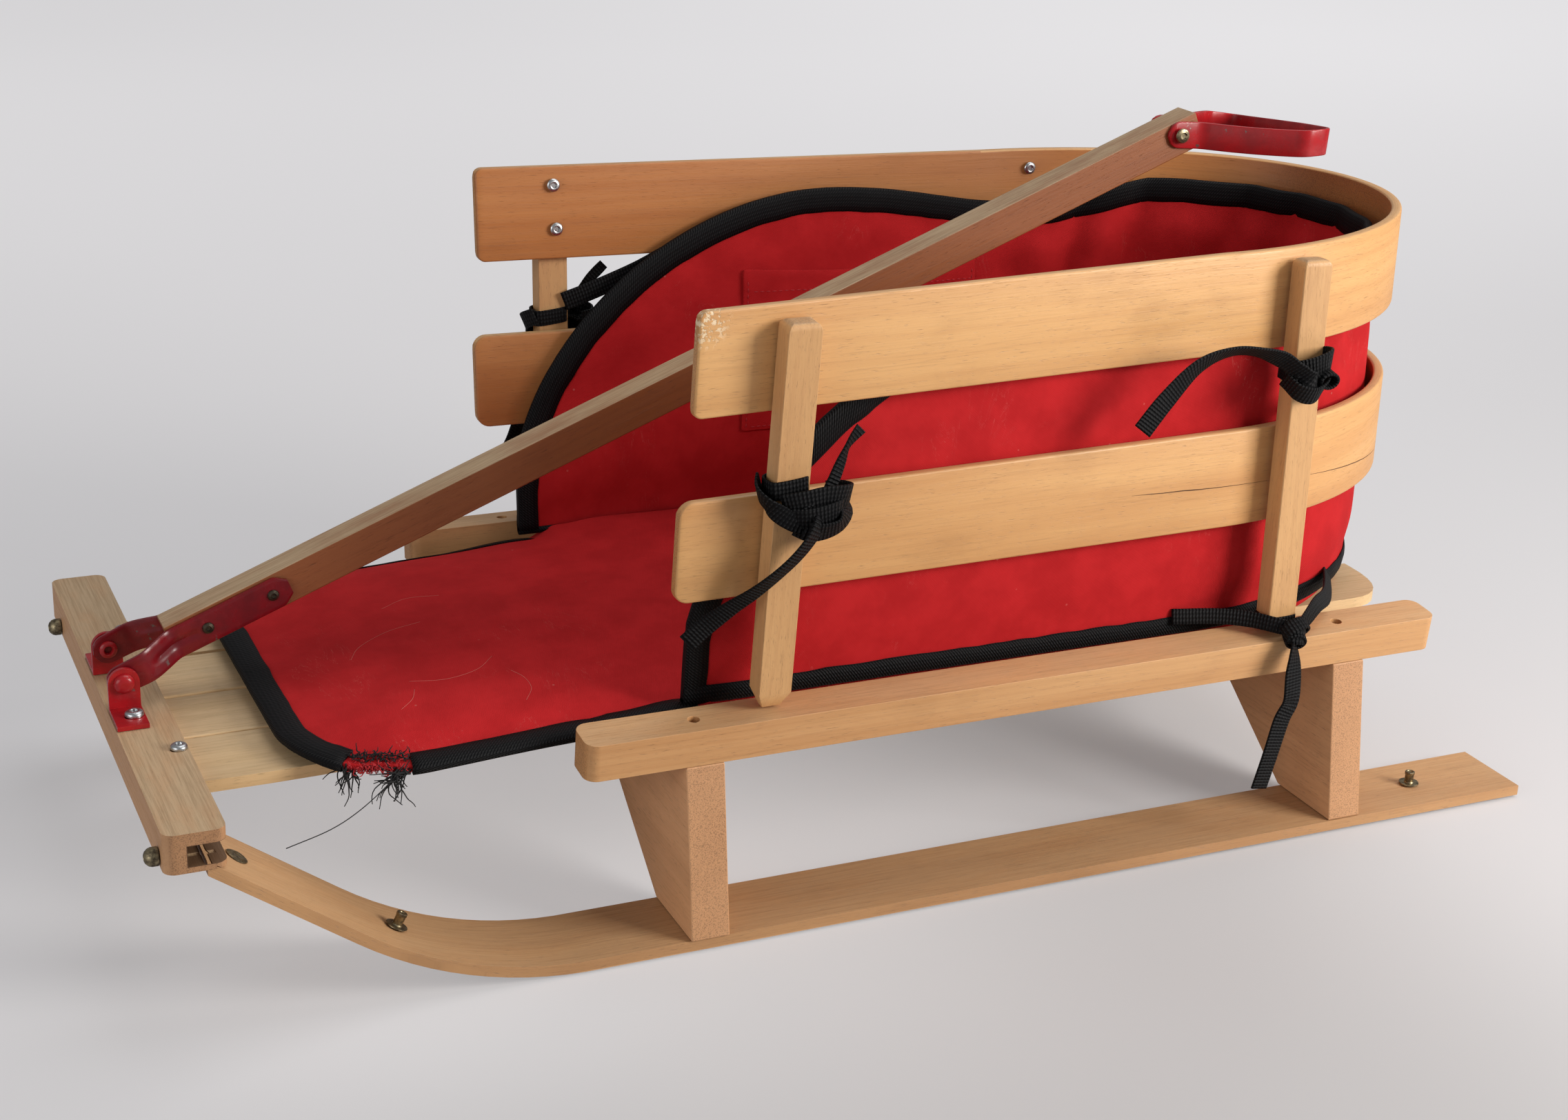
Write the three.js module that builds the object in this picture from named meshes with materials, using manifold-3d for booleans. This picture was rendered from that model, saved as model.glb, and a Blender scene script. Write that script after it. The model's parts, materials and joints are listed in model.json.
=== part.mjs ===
// A child's wooden pull sleigh: two bent plank runners, a slatted deck on two arched bolsters,
// two bentwood hoops on four uprights, a padded liner, and a tow bar with a steel grip loop.
//
// Units are millimetres. +X is forward, +Y is the sleigh's left, +Z is up, and the origin is on
// the ground below the middle of the sleigh's length. The driving dimensions below are measured
// along X from a line a little further back, and up from the underside of the wooden runners,
// which stand on thin steel shoes.

import * as THREE from 'three';
import { mergeVertices } from 'three/addons/utils/BufferGeometryUtils.js';
import Module from 'manifold-3d';

// ---------------------------------------------------------------- driving dimensions

const GAP = 0.3;                     // clearance between pieces that touch
const MIDDLE_X = 73;                 // the middle of the sleigh's length, in the dimensions below
const POST_GAP = 2.0;                // clearance from a flared hoop to its straight uprights
const SIDES = { left: 1, right: -1 };

const SHOE = { width: 20, thickness: 1.2, rearX: -285, frontX: 262 };
const RUNNER = {
  thickness: 6, innerY: 131.3, outerY: 181, rearX: -327,
  bendX: 262, bendRadius: 200, bendAngle: rad(35), tipX: 446,
  toeInStartX: 200, toeIn: 11,
};
const STUD = { frontX: 352, rearX: -265, shankRadius: 2.4, flangeRadius: 5.8, headRadius: 2.8, height: 8.4 };
const TIP_RIVET = { x: 428, shankRadius: 2.4, headRadius: 6 };

const BOLSTER = {
  thickness: 21, frontX: 194.7, rearX: -200.6, top: 101.3,
  footOuterY: 180, footInnerY: 129, headOuterY: 167.2, archY: 68, archZ: 51, crownZ: 62,
};
const RAIL = { length: 517, width: 24, thickness: 20.5, centreY: 156.2, bottom: 101.2, cant: rad(5.6) };
const RAIL_HOLE = { radius: 3.2, offsets: [197.9, -196.2] };

const SLAT = {
  width: 50.6, thickness: 6.5, gap: 2.6, rearX: -279, frontX: 453,
  drop: 6.6, dropFromX: 212, dropToX: 400, rearCorner: 44,
};
const CROSSBAR = { rearX: 436, frontX: 466, bottom: 88, top: 108.4, halfLength: 170.5 };
const GROOVE = { bottom: 91, top: 101.8, depth: 19 };

const UPRIGHT = { alongX: 18, alongY: 12.8, bottom: 122.4, taper: 9, taperInset: 4 };
const UPRIGHTS = {
  front: { x: 160.5, skew: -4.5, footY: 156.4, lean: rad(4.7), rake: rad(0.6), top: 331 },
  rear: { x: -149, skew: -5, footY: 156.8, lean: rad(-2.6), rake: rad(1.6), top: 333 },
};

const HOOP = {
  thickness: 6, frontX: 208, bendX: -110, bendLength: 192, cornerRadius: 9, outOfSquare: rad(1.2),
};
const HOOPS = {
  lower_hoop: { bottom: 182.6, height: 55, forward: 4 },
  upper_hoop: { bottom: 281.6, height: 55, forward: 0 },
};

const LINER = { clearance: 3.2, thickness: 10, bottom: 125.4, top: 320, frontX: 195 };
const WALL_EDGE = {
  frontRise: 20, sweepRise: 97, sweepX: 100, crestX: -5, crestDrop: 3,
  dipX: -135, dipDrop: 18, backX: -235,
};
const PAD = {
  halfWidth: 139, thickness: 12.5, frontX: 392, rearX: -284, cornerRadius: 62,
  frontDrop: 6.6, dropFromX: 225, dropToX: 385,
};
const POCKET = { rearX: -104, frontX: 52, bottom: 170, top: 273, thickness: 1.6, gap: 1.1 };

const PIVOT = { x: 457.5, z: 124.3, radius: 3 };
const BAR = { angle: rad(21.75), start: 29.5, end: 679, width: 19, height: 20 };
const STRAP = {
  thickness: 2.2, height: 13, end: 97, splayY: 21.4, headRadius: 8, cornerCut: 3,
  splayFrom: 14, splayTo: 31,
};
const STRAP_RIVETS = { inner: 50, outer: 87, radius: 2, headRadius: 3.6 };
const BRACKET = { thickness: 2.4, width: 16, tabY: 24.2, footLength: 26 };
const GRIP = {
  pin: 664.5, pinRise: 2.5, pinRadius: 2.6, pinHeadRadius: 4.4,
  droop: rad(-25.5), height: 15.6, thickness: 2, length: 84, halfWidth: 57, twist: 0.13,
  armFrom: 14, armShare: 0.78, handShare: 0.86,
};

const MATERIALS = {
  wood: { color: 0xd9a878, roughness: 0.55, metalness: 0 },
  weathered: { color: 0xb9a184, roughness: 0.8, metalness: 0 },
  fabric: { color: 0xb01e26, roughness: 0.95, metalness: 0 },
  webbing: { color: 0x151517, roughness: 0.9, metalness: 0 },
  paint: { color: 0x8c1018, roughness: 0.35, metalness: 0.2 },
  zinc: { color: 0xb8bcc0, roughness: 0.3, metalness: 1 },
  brass: { color: 0x8f8250, roughness: 0.4, metalness: 1 },
};

// ---------------------------------------------------------------- solids

function rad(degrees) {
  return degrees * Math.PI / 180;
}

const wasm = await Module();
wasm.setup();

// Turns a closed three.js geometry into a solid that can be joined and cut.
function solid(geometry) {
  const bare = geometry.clone();
  bare.deleteAttribute('normal');
  bare.deleteAttribute('uv');
  const merged = mergeVertices(bare, 1e-4);
  return new wasm.Manifold(new wasm.Mesh({
    numProp: 3,
    vertProperties: new Float32Array(merged.attributes.position.array),
    triVerts: new Uint32Array(merged.index.array),
  }));
}

// Turns a solid back into a geometry.
function geometryOf(body) {
  const mesh = body.getMesh();
  const geometry = new THREE.BufferGeometry();
  geometry.setAttribute('position', new THREE.BufferAttribute(new Float32Array(mesh.vertProperties), 3));
  geometry.setIndex(new THREE.BufferAttribute(new Uint32Array(mesh.triVerts), 1));
  geometry.computeVertexNormals();
  return geometry;
}

// A box given by its lowest and highest corners.
function block(low, high) {
  const size = high.map((value, i) => value - low[i]);
  const centre = high.map((value, i) => (value + low[i]) / 2);
  return new THREE.BoxGeometry(...size).translate(...centre);
}

// A flat outline in the X-Z plane, given depth along Y from one place to another.
function slab(shape, fromY, toY, segments = 8) {
  const geometry = new THREE.ExtrudeGeometry(shape, {
    depth: toY - fromY, bevelEnabled: false, curveSegments: segments,
  });
  return geometry.rotateX(Math.PI / 2).translate(0, toY, 0);
}

// A flat outline in the X-Y plane, given depth along Z.
function plate(shape, fromZ, toZ, segments = 8) {
  const geometry = new THREE.ExtrudeGeometry(shape, {
    depth: toZ - fromZ, bevelEnabled: false, curveSegments: segments,
  });
  return geometry.translate(0, 0, fromZ);
}

function outline(points) {
  return new THREE.Shape(points.map(([a, b]) => new THREE.Vector2(a, b)));
}

// A rectangle with its corners rounded.
function roundedRectangle(left, low, right, high, radius) {
  const shape = new THREE.Shape();
  shape.moveTo(left + radius, low);
  shape.lineTo(right - radius, low);
  shape.absarc(right - radius, low + radius, radius, -Math.PI / 2, 0);
  shape.lineTo(right, high - radius);
  shape.absarc(right - radius, high - radius, radius, 0, Math.PI / 2);
  shape.lineTo(left + radius, high);
  shape.absarc(left + radius, high - radius, radius, Math.PI / 2, Math.PI);
  shape.lineTo(left, low + radius);
  shape.absarc(left + radius, low + radius, radius, Math.PI, Math.PI * 1.5);
  return shape;
}

// A rod between two points.
function rod(from, to, radius, segments = 16) {
  const start = new THREE.Vector3(...from);
  const along = new THREE.Vector3(...to).sub(start);
  const geometry = new THREE.CylinderGeometry(radius, radius, along.length(), segments);
  geometry.translate(0, along.length() / 2, 0);
  const turn = new THREE.Quaternion().setFromUnitVectors(new THREE.Vector3(0, 1, 0), along.normalize());
  return geometry.applyQuaternion(turn).translate(...from);
}

// Drills a hole, or several, through a solid.
function drill(body, ...holes) {
  return holes.reduce((rest, hole) => rest.subtract(solid(rod(...hole))), body);
}

// A turned fastener: its profile is pairs of radius and height, with the head above height 0.
// It stands at a point and its head points along a direction.
function fastener(profile, at, direction, segments = 12) {
  const points = profile.map(([radius, height]) => new THREE.Vector2(radius, height));
  const geometry = new THREE.LatheGeometry(points, segments);
  const turn = new THREE.Quaternion().setFromUnitVectors(
    new THREE.Vector3(0, 1, 0), new THREE.Vector3(...direction).normalize());
  return geometry.applyQuaternion(turn).translate(...at);
}

function screwProfile(headRadius, headHeight, shankRadius, length) {
  return [
    [0, -length], [shankRadius, -length], [shankRadius, 0], [headRadius, 0],
    [headRadius, headHeight * 0.5], [headRadius * 0.7, headHeight], [0, headHeight],
  ];
}

// ---------------------------------------------------------------- the group

const sleigh = new THREE.Group();
sleigh.position.set(-MIDDLE_X, 0, SHOE.thickness + GAP);

function add(name, geometry, material, parent = sleigh) {
  const mesh = new THREE.Mesh(geometry, new THREE.MeshStandardMaterial(MATERIALS[material]));
  mesh.name = name;
  parent.add(mesh);
  return mesh;
}

// ---------------------------------------------------------------- runners

// The runner's underside: level, then a bend, then a straight rise to the tip.
function runnerCurve(offset, tipX) {
  const { bendX, bendRadius, bendAngle, rearX } = RUNNER;
  const points = [[rearX, offset]];
  const steps = 12;
  for (let i = 0; i <= steps; i += 1) {
    const angle = bendAngle * i / steps;
    points.push([
      bendX + (bendRadius - offset) * Math.sin(angle),
      bendRadius - (bendRadius - offset) * Math.cos(angle),
    ]);
  }
  const [lastX, lastZ] = points[points.length - 1];
  points.push([tipX, lastZ + (tipX - lastX) * Math.tan(bendAngle)]);
  return points;
}

// Springs a straight plank inward towards its front.
function toeIn(geometry, side) {
  const position = geometry.attributes.position;
  const reach = RUNNER.tipX - RUNNER.toeInStartX;
  for (let i = 0; i < position.count; i += 1) {
    const along = Math.max(0, (position.getX(i) - RUNNER.toeInStartX) / reach);
    position.setY(i, position.getY(i) - side * RUNNER.toeIn * along);
  }
  return geometry;
}

function plank(side, low, high, widen, tipX) {
  const lower = runnerCurve(low, tipX);
  const upper = runnerCurve(high, tipX).reverse();
  const ys = [RUNNER.innerY - widen, RUNNER.outerY + widen].map((y) => y * side).sort((a, b) => a - b);
  return toeIn(slab(outline([...lower, ...upper]), ys[0], ys[1]), side);
}

const runnerMiddleY = (RUNNER.innerY + RUNNER.outerY) / 2;

// A place on the runner's upper face, and the direction that its face points.
function onRunner(x, side) {
  const { bendX, bendRadius, bendAngle, thickness } = RUNNER;
  const radius = bendRadius - thickness;
  const bendEnd = bendX + radius * Math.sin(bendAngle);
  const angle = x < bendX ? 0 : Math.min(bendAngle, Math.asin((x - bendX) / radius));
  const rise = Math.max(0, x - bendEnd) * Math.tan(bendAngle);
  const z = bendRadius - radius * Math.cos(angle) + rise;
  const along = Math.max(0, (x - RUNNER.toeInStartX) / (RUNNER.tipX - RUNNER.toeInStartX));
  return {
    at: [x, side * (runnerMiddleY - RUNNER.toeIn * along), z],
    up: [-Math.sin(angle), 0, Math.cos(angle)],
  };
}

function shifted(place, distance) {
  return place.at.map((value, i) => value + place.up[i] * distance);
}

const studProfile = [
  [0, -RUNNER.thickness], [STUD.shankRadius, -RUNNER.thickness], [STUD.shankRadius, GAP],
  [STUD.flangeRadius, GAP + 0.7], [STUD.flangeRadius, GAP + 1.1], [STUD.shankRadius, GAP + 1.2],
  [STUD.headRadius, STUD.height - 1.8], [STUD.headRadius, STUD.height - 0.4], [0, STUD.height],
];
const tipRivetProfile = [
  [0, -5], [TIP_RIVET.shankRadius, -5], [TIP_RIVET.shankRadius, GAP],
  [TIP_RIVET.headRadius, GAP], [TIP_RIVET.headRadius, 0.9], [0, 1.6],
];

for (const [name, side] of Object.entries(SIDES)) {
  const front = onRunner(STUD.frontX, side);
  const rear = onRunner(STUD.rearX, side);
  const tip = onRunner(TIP_RIVET.x, side);
  const runner = drill(
    solid(plank(side, 0, RUNNER.thickness, 0, RUNNER.tipX)),
    [shifted(front, -20), shifted(front, 20), STUD.shankRadius + GAP],
    [shifted(rear, -20), shifted(rear, 20), STUD.shankRadius + GAP],
    [shifted(tip, -20), shifted(tip, 20), TIP_RIVET.shankRadius + GAP],
  );
  add(`runner_${name}`, geometryOf(runner), 'wood');
  const low = -SHOE.thickness - GAP;
  const middle = runnerMiddleY * side;
  add(`runner_shoe_${name}`,
    block([SHOE.rearX, middle - SHOE.width / 2, low], [SHOE.frontX, middle + SHOE.width / 2, -GAP]), 'zinc');
  add(`runner_stud_front_${name}`, fastener(studProfile, front.at, front.up), 'brass');
  add(`runner_stud_rear_${name}`, fastener(studProfile, rear.at, rear.up), 'brass');
  add(`runner_tip_rivet_${name}`, fastener(tipRivetProfile, tip.at, tip.up), 'brass');
}

// ---------------------------------------------------------------- bolsters and rails

function bolsterShape() {
  const { footInnerY, footOuterY, headOuterY, archY, archZ, crownZ, top } = BOLSTER;
  const foot = RUNNER.thickness + GAP;
  const railSeatY = RAIL.centreY - RAIL.width / 2;
  const headOuterZ = top - GAP - (headOuterY - railSeatY) * Math.tan(RAIL.cant);
  const shape = new THREE.Shape();
  shape.moveTo(footInnerY, foot);
  shape.lineTo(footOuterY, foot);
  shape.lineTo(headOuterY, headOuterZ);
  shape.lineTo(railSeatY, top - GAP);
  shape.lineTo(-railSeatY, top - GAP);
  shape.lineTo(-headOuterY, headOuterZ);
  shape.lineTo(-footOuterY, foot);
  shape.lineTo(-footInnerY, foot);
  shape.lineTo(-archY, archZ);
  shape.quadraticCurveTo(-archY * 0.6, crownZ, 0, crownZ);
  shape.quadraticCurveTo(archY * 0.6, crownZ, archY, archZ);
  return shape;
}

for (const [name, x] of [['front_bolster', BOLSTER.frontX], ['rear_bolster', BOLSTER.rearX]]) {
  const geometry = plate(bolsterShape(), -BOLSTER.thickness / 2, BOLSTER.thickness / 2);
  geometry.rotateX(Math.PI / 2).rotateZ(Math.PI / 2);
  add(name, geometry.translate(x, 0, 0), 'wood');
}

for (const [name, side] of Object.entries(SIDES)) {
  const half = RAIL.width / 2;
  const plan = roundedRectangle(-RAIL.length / 2, -half, RAIL.length / 2, half, 7);
  const raw = drill(
    solid(plate(plan, 0, RAIL.thickness, 4)),
    ...RAIL_HOLE.offsets.map((x) => [[x, 0, -1], [x, 0, RAIL.thickness + 1], RAIL_HOLE.radius]),
  );
  const rail = add(`side_rail_${name}`, geometryOf(raw), 'wood');
  rail.rotation.x = -side * RAIL.cant;
  rail.position.set(0, side * (RAIL.centreY - 1), RAIL.bottom + GAP - half * Math.sin(RAIL.cant));
}

// ---------------------------------------------------------------- deck and crossbar

// Each slat lies level on the bolsters and is sprung down into the crossbar's groove.
function slatProfile() {
  const { rearX, frontX, thickness, drop, dropFromX, dropToX } = SLAT;
  const level = BOLSTER.top + GAP;
  const lower = [[rearX, level]];
  const steps = 8;
  for (let i = 0; i <= steps; i += 1) {
    const share = i / steps;
    const ease = share * share * (3 - 2 * share);
    lower.push([dropFromX + (dropToX - dropFromX) * share, level - drop * ease]);
  }
  lower.push([frontX, level - drop]);
  const upper = lower.map(([x, z]) => [x, z + thickness]).reverse();
  return outline([...lower, ...upper]);
}

// The deck's plan: square at the front, with its rear corners rounded off.
function deckPlan() {
  const half = 2 * SLAT.width + 1.5 * SLAT.gap;
  const round = SLAT.rearCorner;
  const shape = new THREE.Shape();
  shape.moveTo(SLAT.frontX + 5, -half);
  shape.lineTo(SLAT.frontX + 5, half);
  shape.lineTo(SLAT.rearX + round * 0.7, half);
  shape.quadraticCurveTo(SLAT.rearX, half, SLAT.rearX, half - round);
  shape.lineTo(SLAT.rearX, -half + round);
  shape.quadraticCurveTo(SLAT.rearX, -half, SLAT.rearX + round * 0.7, -half);
  return shape;
}

const crossbarMiddleX = (CROSSBAR.rearX + CROSSBAR.frontX) / 2;
const slatPitch = SLAT.width + SLAT.gap;
const deckScrew = { x: 443, y: 1.5 * slatPitch, headRadius: 4, shankRadius: 1.9, length: 17 };
const bracketScrew = { x: 457.8, y: 39.5, headRadius: 4.6, shankRadius: 2, length: 12 };
const frontBolt = { y: { left: 158, right: -136 }, z: 93, shankRadius: 2.4 };
const deckBody = solid(plate(deckPlan(), 0, 200));

for (let i = 0; i < 4; i += 1) {
  const centre = (i - 1.5) * slatPitch;
  let slat = solid(slab(slatProfile(), centre - SLAT.width / 2, centre + SLAT.width / 2));
  slat = slat.intersect(deckBody);
  if (i === 0 || i === 3) {
    const y = Math.sign(centre) * deckScrew.y;
    slat = drill(slat, [[deckScrew.x, y, 60], [deckScrew.x, y, 120], deckScrew.shankRadius + GAP]);
  }
  add(`deck_slat_${4 - i}`, geometryOf(slat), 'wood');
}

function crossbarBody() {
  const { rearX, frontX, bottom, top, halfLength } = CROSSBAR;
  const plan = roundedRectangle(rearX, -halfLength, frontX, halfLength, 6);
  let body = solid(plate(plan, bottom, top, 4));
  const groove = block([rearX - 5, -halfLength - 5, GROOVE.bottom],
    [rearX + GROOVE.depth, halfLength + 5, GROOVE.top]);
  body = body.subtract(solid(groove));
  for (const [name, side] of Object.entries(SIDES)) {
    body = body.subtract(solid(plank(side, -GAP * 1.5, RUNNER.thickness + GAP * 1.5, GAP, RUNNER.tipX + 1)));
    body = drill(body,
      [[deckScrew.x, side * deckScrew.y, 80], [deckScrew.x, side * deckScrew.y, 120],
        deckScrew.shankRadius + GAP],
      [[bracketScrew.x, side * bracketScrew.y, 60], [bracketScrew.x, side * bracketScrew.y, 120],
        bracketScrew.shankRadius + GAP],
      [[rearX + 4, frontBolt.y[name], frontBolt.z], [frontX + 5, frontBolt.y[name], frontBolt.z],
        frontBolt.shankRadius + GAP]);
  }
  return body;
}

add('crossbar', geometryOf(crossbarBody()), 'weathered');

const boltProfile = [
  [0, -10], [frontBolt.shankRadius, -10], [frontBolt.shankRadius, GAP], [4.6, GAP], [4.6, 4.2],
  [2.6, 6.6], [0, 7],
];
for (const [name, side] of Object.entries(SIDES)) {
  const { headRadius, shankRadius, length } = deckScrew;
  const profile = screwProfile(headRadius, 2.4, shankRadius, length);
  add(`crossbar_screw_${name}`,
    fastener(profile, [deckScrew.x, side * deckScrew.y, CROSSBAR.top + GAP], [0, 0, 1]), 'zinc');
  add(`crossbar_bolt_${name}`,
    fastener(boltProfile, [CROSSBAR.frontX, frontBolt.y[name], frontBolt.z], [1, 0, 0]), 'brass');
}

// ---------------------------------------------------------------- hoops and uprights

// The half width of a hoop's outer face at a height, on its straight stretch.
function hoopHalfWidth(x, z) {
  const front = UPRIGHTS.front;
  const rear = UPRIGHTS.rear;
  const half = UPRIGHT.alongY / 2;
  const yAt = (post) => post.footY - half + (z - UPRIGHT.bottom) * Math.tan(post.lean) - POST_GAP;
  const share = (x - rear.x) / (front.x - rear.x);
  return yAt(rear) + (yAt(front) - yAt(rear)) * share;
}

// The half width of a line inset from the hoops' outer faces, on the straight or in the bend.
function hoopWidthAt(x, z, inset) {
  const { bendX, bendLength } = HOOP;
  if (x >= bendX) return hoopHalfWidth(x, z) - inset;
  const depth = (bendX - x) / (bendLength - inset);
  return (hoopHalfWidth(bendX, z) - inset) * Math.sqrt(1 - depth * depth);
}

// An upright's place along the sleigh. The two sides stand a little out of line.
function postX(where, side) {
  return UPRIGHTS[where].x + side * UPRIGHTS[where].skew;
}

// A hoop's line seen from above, from the left front end round the back to the right front end.
function hoopLine(z, inset, frontX) {
  const { bendX, bendLength } = HOOP;
  const straight = 10;
  const turns = 20;
  const left = [];
  for (let i = 0; i < straight; i += 1) {
    const x = frontX + (bendX - frontX) * i / straight;
    left.push([x, hoopHalfWidth(x, z) - inset]);
  }
  const width = hoopHalfWidth(bendX, z) - inset;
  const bend = [];
  for (let i = 0; i <= turns; i += 1) {
    const angle = Math.PI * i / turns;
    bend.push([bendX - (bendLength - inset) * Math.sin(angle), width * Math.cos(angle)]);
  }
  const right = left.map(([x, y]) => [x, -y]).reverse();
  return [...left, ...bend, ...right];
}

// A bent strip: four long edges skinned together, closed at its two ends. Its inset is the
// distance that it lies inside the hoops' outer faces.
function bentStrip({ bottom, top, inset, thickness, frontX }) {
  const edge = (z, depth) => hoopLine(z, depth, frontX).map(([x, y]) => [x, y, z]);
  const rows = [
    edge(bottom, inset), edge(top, inset), edge(top, inset + thickness), edge(bottom, inset + thickness),
  ];
  const count = rows[0].length;
  const positions = rows.flat(2);
  const index = [];
  for (let row = 0; row < 4; row += 1) {
    const next = (row + 1) % 4;
    for (let i = 0; i < count - 1; i += 1) {
      const [a, b, c, d] = [row * count + i, row * count + i + 1, next * count + i + 1, next * count + i];
      index.push(a, b, c, a, c, d);
    }
  }
  const last = count - 1;
  index.push(0, count, 2 * count, 0, 2 * count, 3 * count);
  index.push(last, last + 2 * count, last + count, last, last + 3 * count, last + 2 * count);
  const geometry = new THREE.BufferGeometry();
  geometry.setAttribute('position', new THREE.Float32BufferAttribute(positions, 3));
  geometry.setIndex(index);
  return solid(geometry);
}

// Rounds the two free ends of a hoop, seen from the side. They are cut a little out of square.
function hoopEnds(bottom, height, frontX) {
  const shape = roundedRectangle(-600, bottom - 0.5, frontX, bottom + height + 0.5, HOOP.cornerRadius);
  return solid(slab(shape, -400, 400, 6).rotateZ(HOOP.outOfSquare));
}

const hoopScrews = [
  { name: 'upper_hoop_screw_front_high', post: 'front', z: 323 },
  { name: 'upper_hoop_screw_front_low', post: 'front', z: 302 },
  { name: 'upper_hoop_screw_rear', post: 'rear', z: 322 },
  { name: 'lower_hoop_screw_front', post: 'front', z: 210 },
];
const hoopScrewSize = { headRadius: 3.9, headHeight: 1.4, shankRadius: 1.7, length: 15.5, standOff: 1.3 };

// Where a screw's head meets a hoop's inner face, and the way that it points.
function screwPlace({ post, z }, side) {
  const { lean } = UPRIGHTS[post];
  const x = postX(post, side);
  const inner = hoopWidthAt(x, z, HOOP.thickness) - hoopScrewSize.standOff;
  const direction = [0, -side * Math.cos(lean), Math.sin(lean)];
  return { at: [x, side * inner, z], direction };
}

function screwHole(screw, side) {
  const { at, direction } = screwPlace(screw, side);
  const end = at.map((value, i) => value - direction[i] * (hoopScrewSize.length + 1));
  const start = at.map((value, i) => value + direction[i] * 3);
  return [start, end, hoopScrewSize.shankRadius + GAP, 12];
}

for (const [name, { bottom, height, forward }] of Object.entries(HOOPS)) {
  const frontX = HOOP.frontX + forward;
  let hoop = bentStrip({
    bottom, top: bottom + height, inset: 0, thickness: HOOP.thickness, frontX: frontX + 5,
  });
  hoop = hoop.intersect(hoopEnds(bottom, height, frontX));
  const screws = hoopScrews.filter((screw) => screw.name.startsWith(name));
  for (const side of Object.values(SIDES)) {
    hoop = drill(hoop, ...screws.map((screw) => screwHole(screw, side)));
  }
  add(name, geometryOf(hoop), 'wood');
}

// An upright with a tapered foot and a rounded head, standing at the origin.
function uprightShape(length, thickness, headRound) {
  const half = thickness / 2;
  const { taper, taperInset } = UPRIGHT;
  const shape = new THREE.Shape();
  shape.moveTo(-half + taperInset, 0);
  shape.lineTo(half - taperInset, 0);
  shape.lineTo(half, taper);
  shape.lineTo(half, length - headRound);
  shape.quadraticCurveTo(half, length, half - headRound, length);
  shape.lineTo(-half + headRound, length);
  shape.quadraticCurveTo(-half, length, -half, length - headRound);
  shape.lineTo(-half, taper);
  return shape;
}

for (const [where, post] of Object.entries(UPRIGHTS)) {
  for (const [name, side] of Object.entries(SIDES)) {
    const length = post.top - UPRIGHT.bottom;
    const faceOn = slab(uprightShape(length, UPRIGHT.alongX, 5), -20, 20, 4);
    const edgeOn = slab(uprightShape(length, UPRIGHT.alongY, 4), -20, 20, 4).rotateZ(Math.PI / 2);
    const stock = geometryOf(solid(faceOn).intersect(solid(edgeOn)));
    stock.rotateY(-post.rake).rotateX(-side * post.lean);
    stock.translate(postX(where, side), side * post.footY, UPRIGHT.bottom);
    const screws = hoopScrews.filter((screw) => screw.post === where);
    const upright = drill(solid(stock), ...screws.map((screw) => screwHole(screw, side)));
    add(`upright_${where}_${name}`, geometryOf(upright), 'wood');
  }
}

for (const screw of hoopScrews) {
  for (const [name, side] of Object.entries(SIDES)) {
    const { at, direction } = screwPlace(screw, side);
    const { headRadius, headHeight, shankRadius, length } = hoopScrewSize;
    add(`${screw.name}_${name}`,
      fastener(screwProfile(headRadius, headHeight, shankRadius, length), at, direction), 'zinc');
  }
}

// ---------------------------------------------------------------- padded liner

// The wall's side view: a swept-back front edge, and a top edge that sags behind the middle.
function wallSide() {
  const { bottom, top, frontX } = LINER;
  const { frontRise, sweepRise, sweepX, crestX, dipX, backX } = WALL_EDGE;
  const crest = top - WALL_EDGE.crestDrop;
  const dip = top - WALL_EDGE.dipDrop;
  const shape = new THREE.Shape();
  shape.moveTo(HOOP.bendX - HOOP.bendLength, bottom);
  shape.lineTo(frontX, bottom);
  shape.lineTo(frontX, bottom + frontRise);
  shape.bezierCurveTo(frontX - 2, bottom + sweepRise, sweepX, crest, crestX, crest);
  shape.bezierCurveTo(crestX - 55, crest, dipX + 50, dip, dipX, dip);
  shape.bezierCurveTo(dipX - 40, dip, backX + 40, top, backX, top);
  shape.lineTo(HOOP.bendX - HOOP.bendLength, top);
  return shape;
}

const wallInset = HOOP.thickness + LINER.clearance;
const wall = bentStrip({
  bottom: LINER.bottom, top: LINER.top, inset: wallInset, thickness: LINER.thickness, frontX: LINER.frontX,
}).intersect(solid(slab(wallSide(), -200, 200, 12)));
add('liner_wall', geometryOf(wall), 'fabric');

// The seat and leg pad's plan: rounded in front, and following the wall at the back.
function padPlan() {
  const { halfWidth, frontX, rearX, cornerRadius } = PAD;
  const shape = new THREE.Shape();
  const { bendX } = HOOP;
  shape.moveTo(bendX, -halfWidth);
  shape.lineTo(frontX - cornerRadius, -halfWidth);
  shape.absarc(frontX - cornerRadius, -halfWidth + cornerRadius, cornerRadius, -Math.PI / 2, 0);
  shape.lineTo(frontX, halfWidth - cornerRadius);
  shape.absarc(frontX - cornerRadius, halfWidth - cornerRadius, cornerRadius, 0, Math.PI / 2);
  shape.lineTo(bendX, halfWidth);
  shape.absellipse(bendX, 0, bendX - rearX, halfWidth, Math.PI / 2, Math.PI * 1.5, false);
  return shape;
}

// The pad follows the deck down at the front.
function padSide() {
  const low = BOLSTER.top + SLAT.thickness + 4 * GAP;
  const { rearX, frontX, thickness, frontDrop, dropFromX, dropToX } = PAD;
  const lower = [
    [rearX - 5, low], [dropFromX, low], [dropToX, low - frontDrop], [frontX + 5, low - frontDrop],
  ];
  return outline([...lower, ...lower.map(([x, z]) => [x, z + thickness]).reverse()]);
}

const pad = solid(plate(padPlan(), 80, 140, 10)).intersect(solid(slab(padSide(), -200, 200)));
add('seat_pad', geometryOf(pad), 'fabric');

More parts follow.
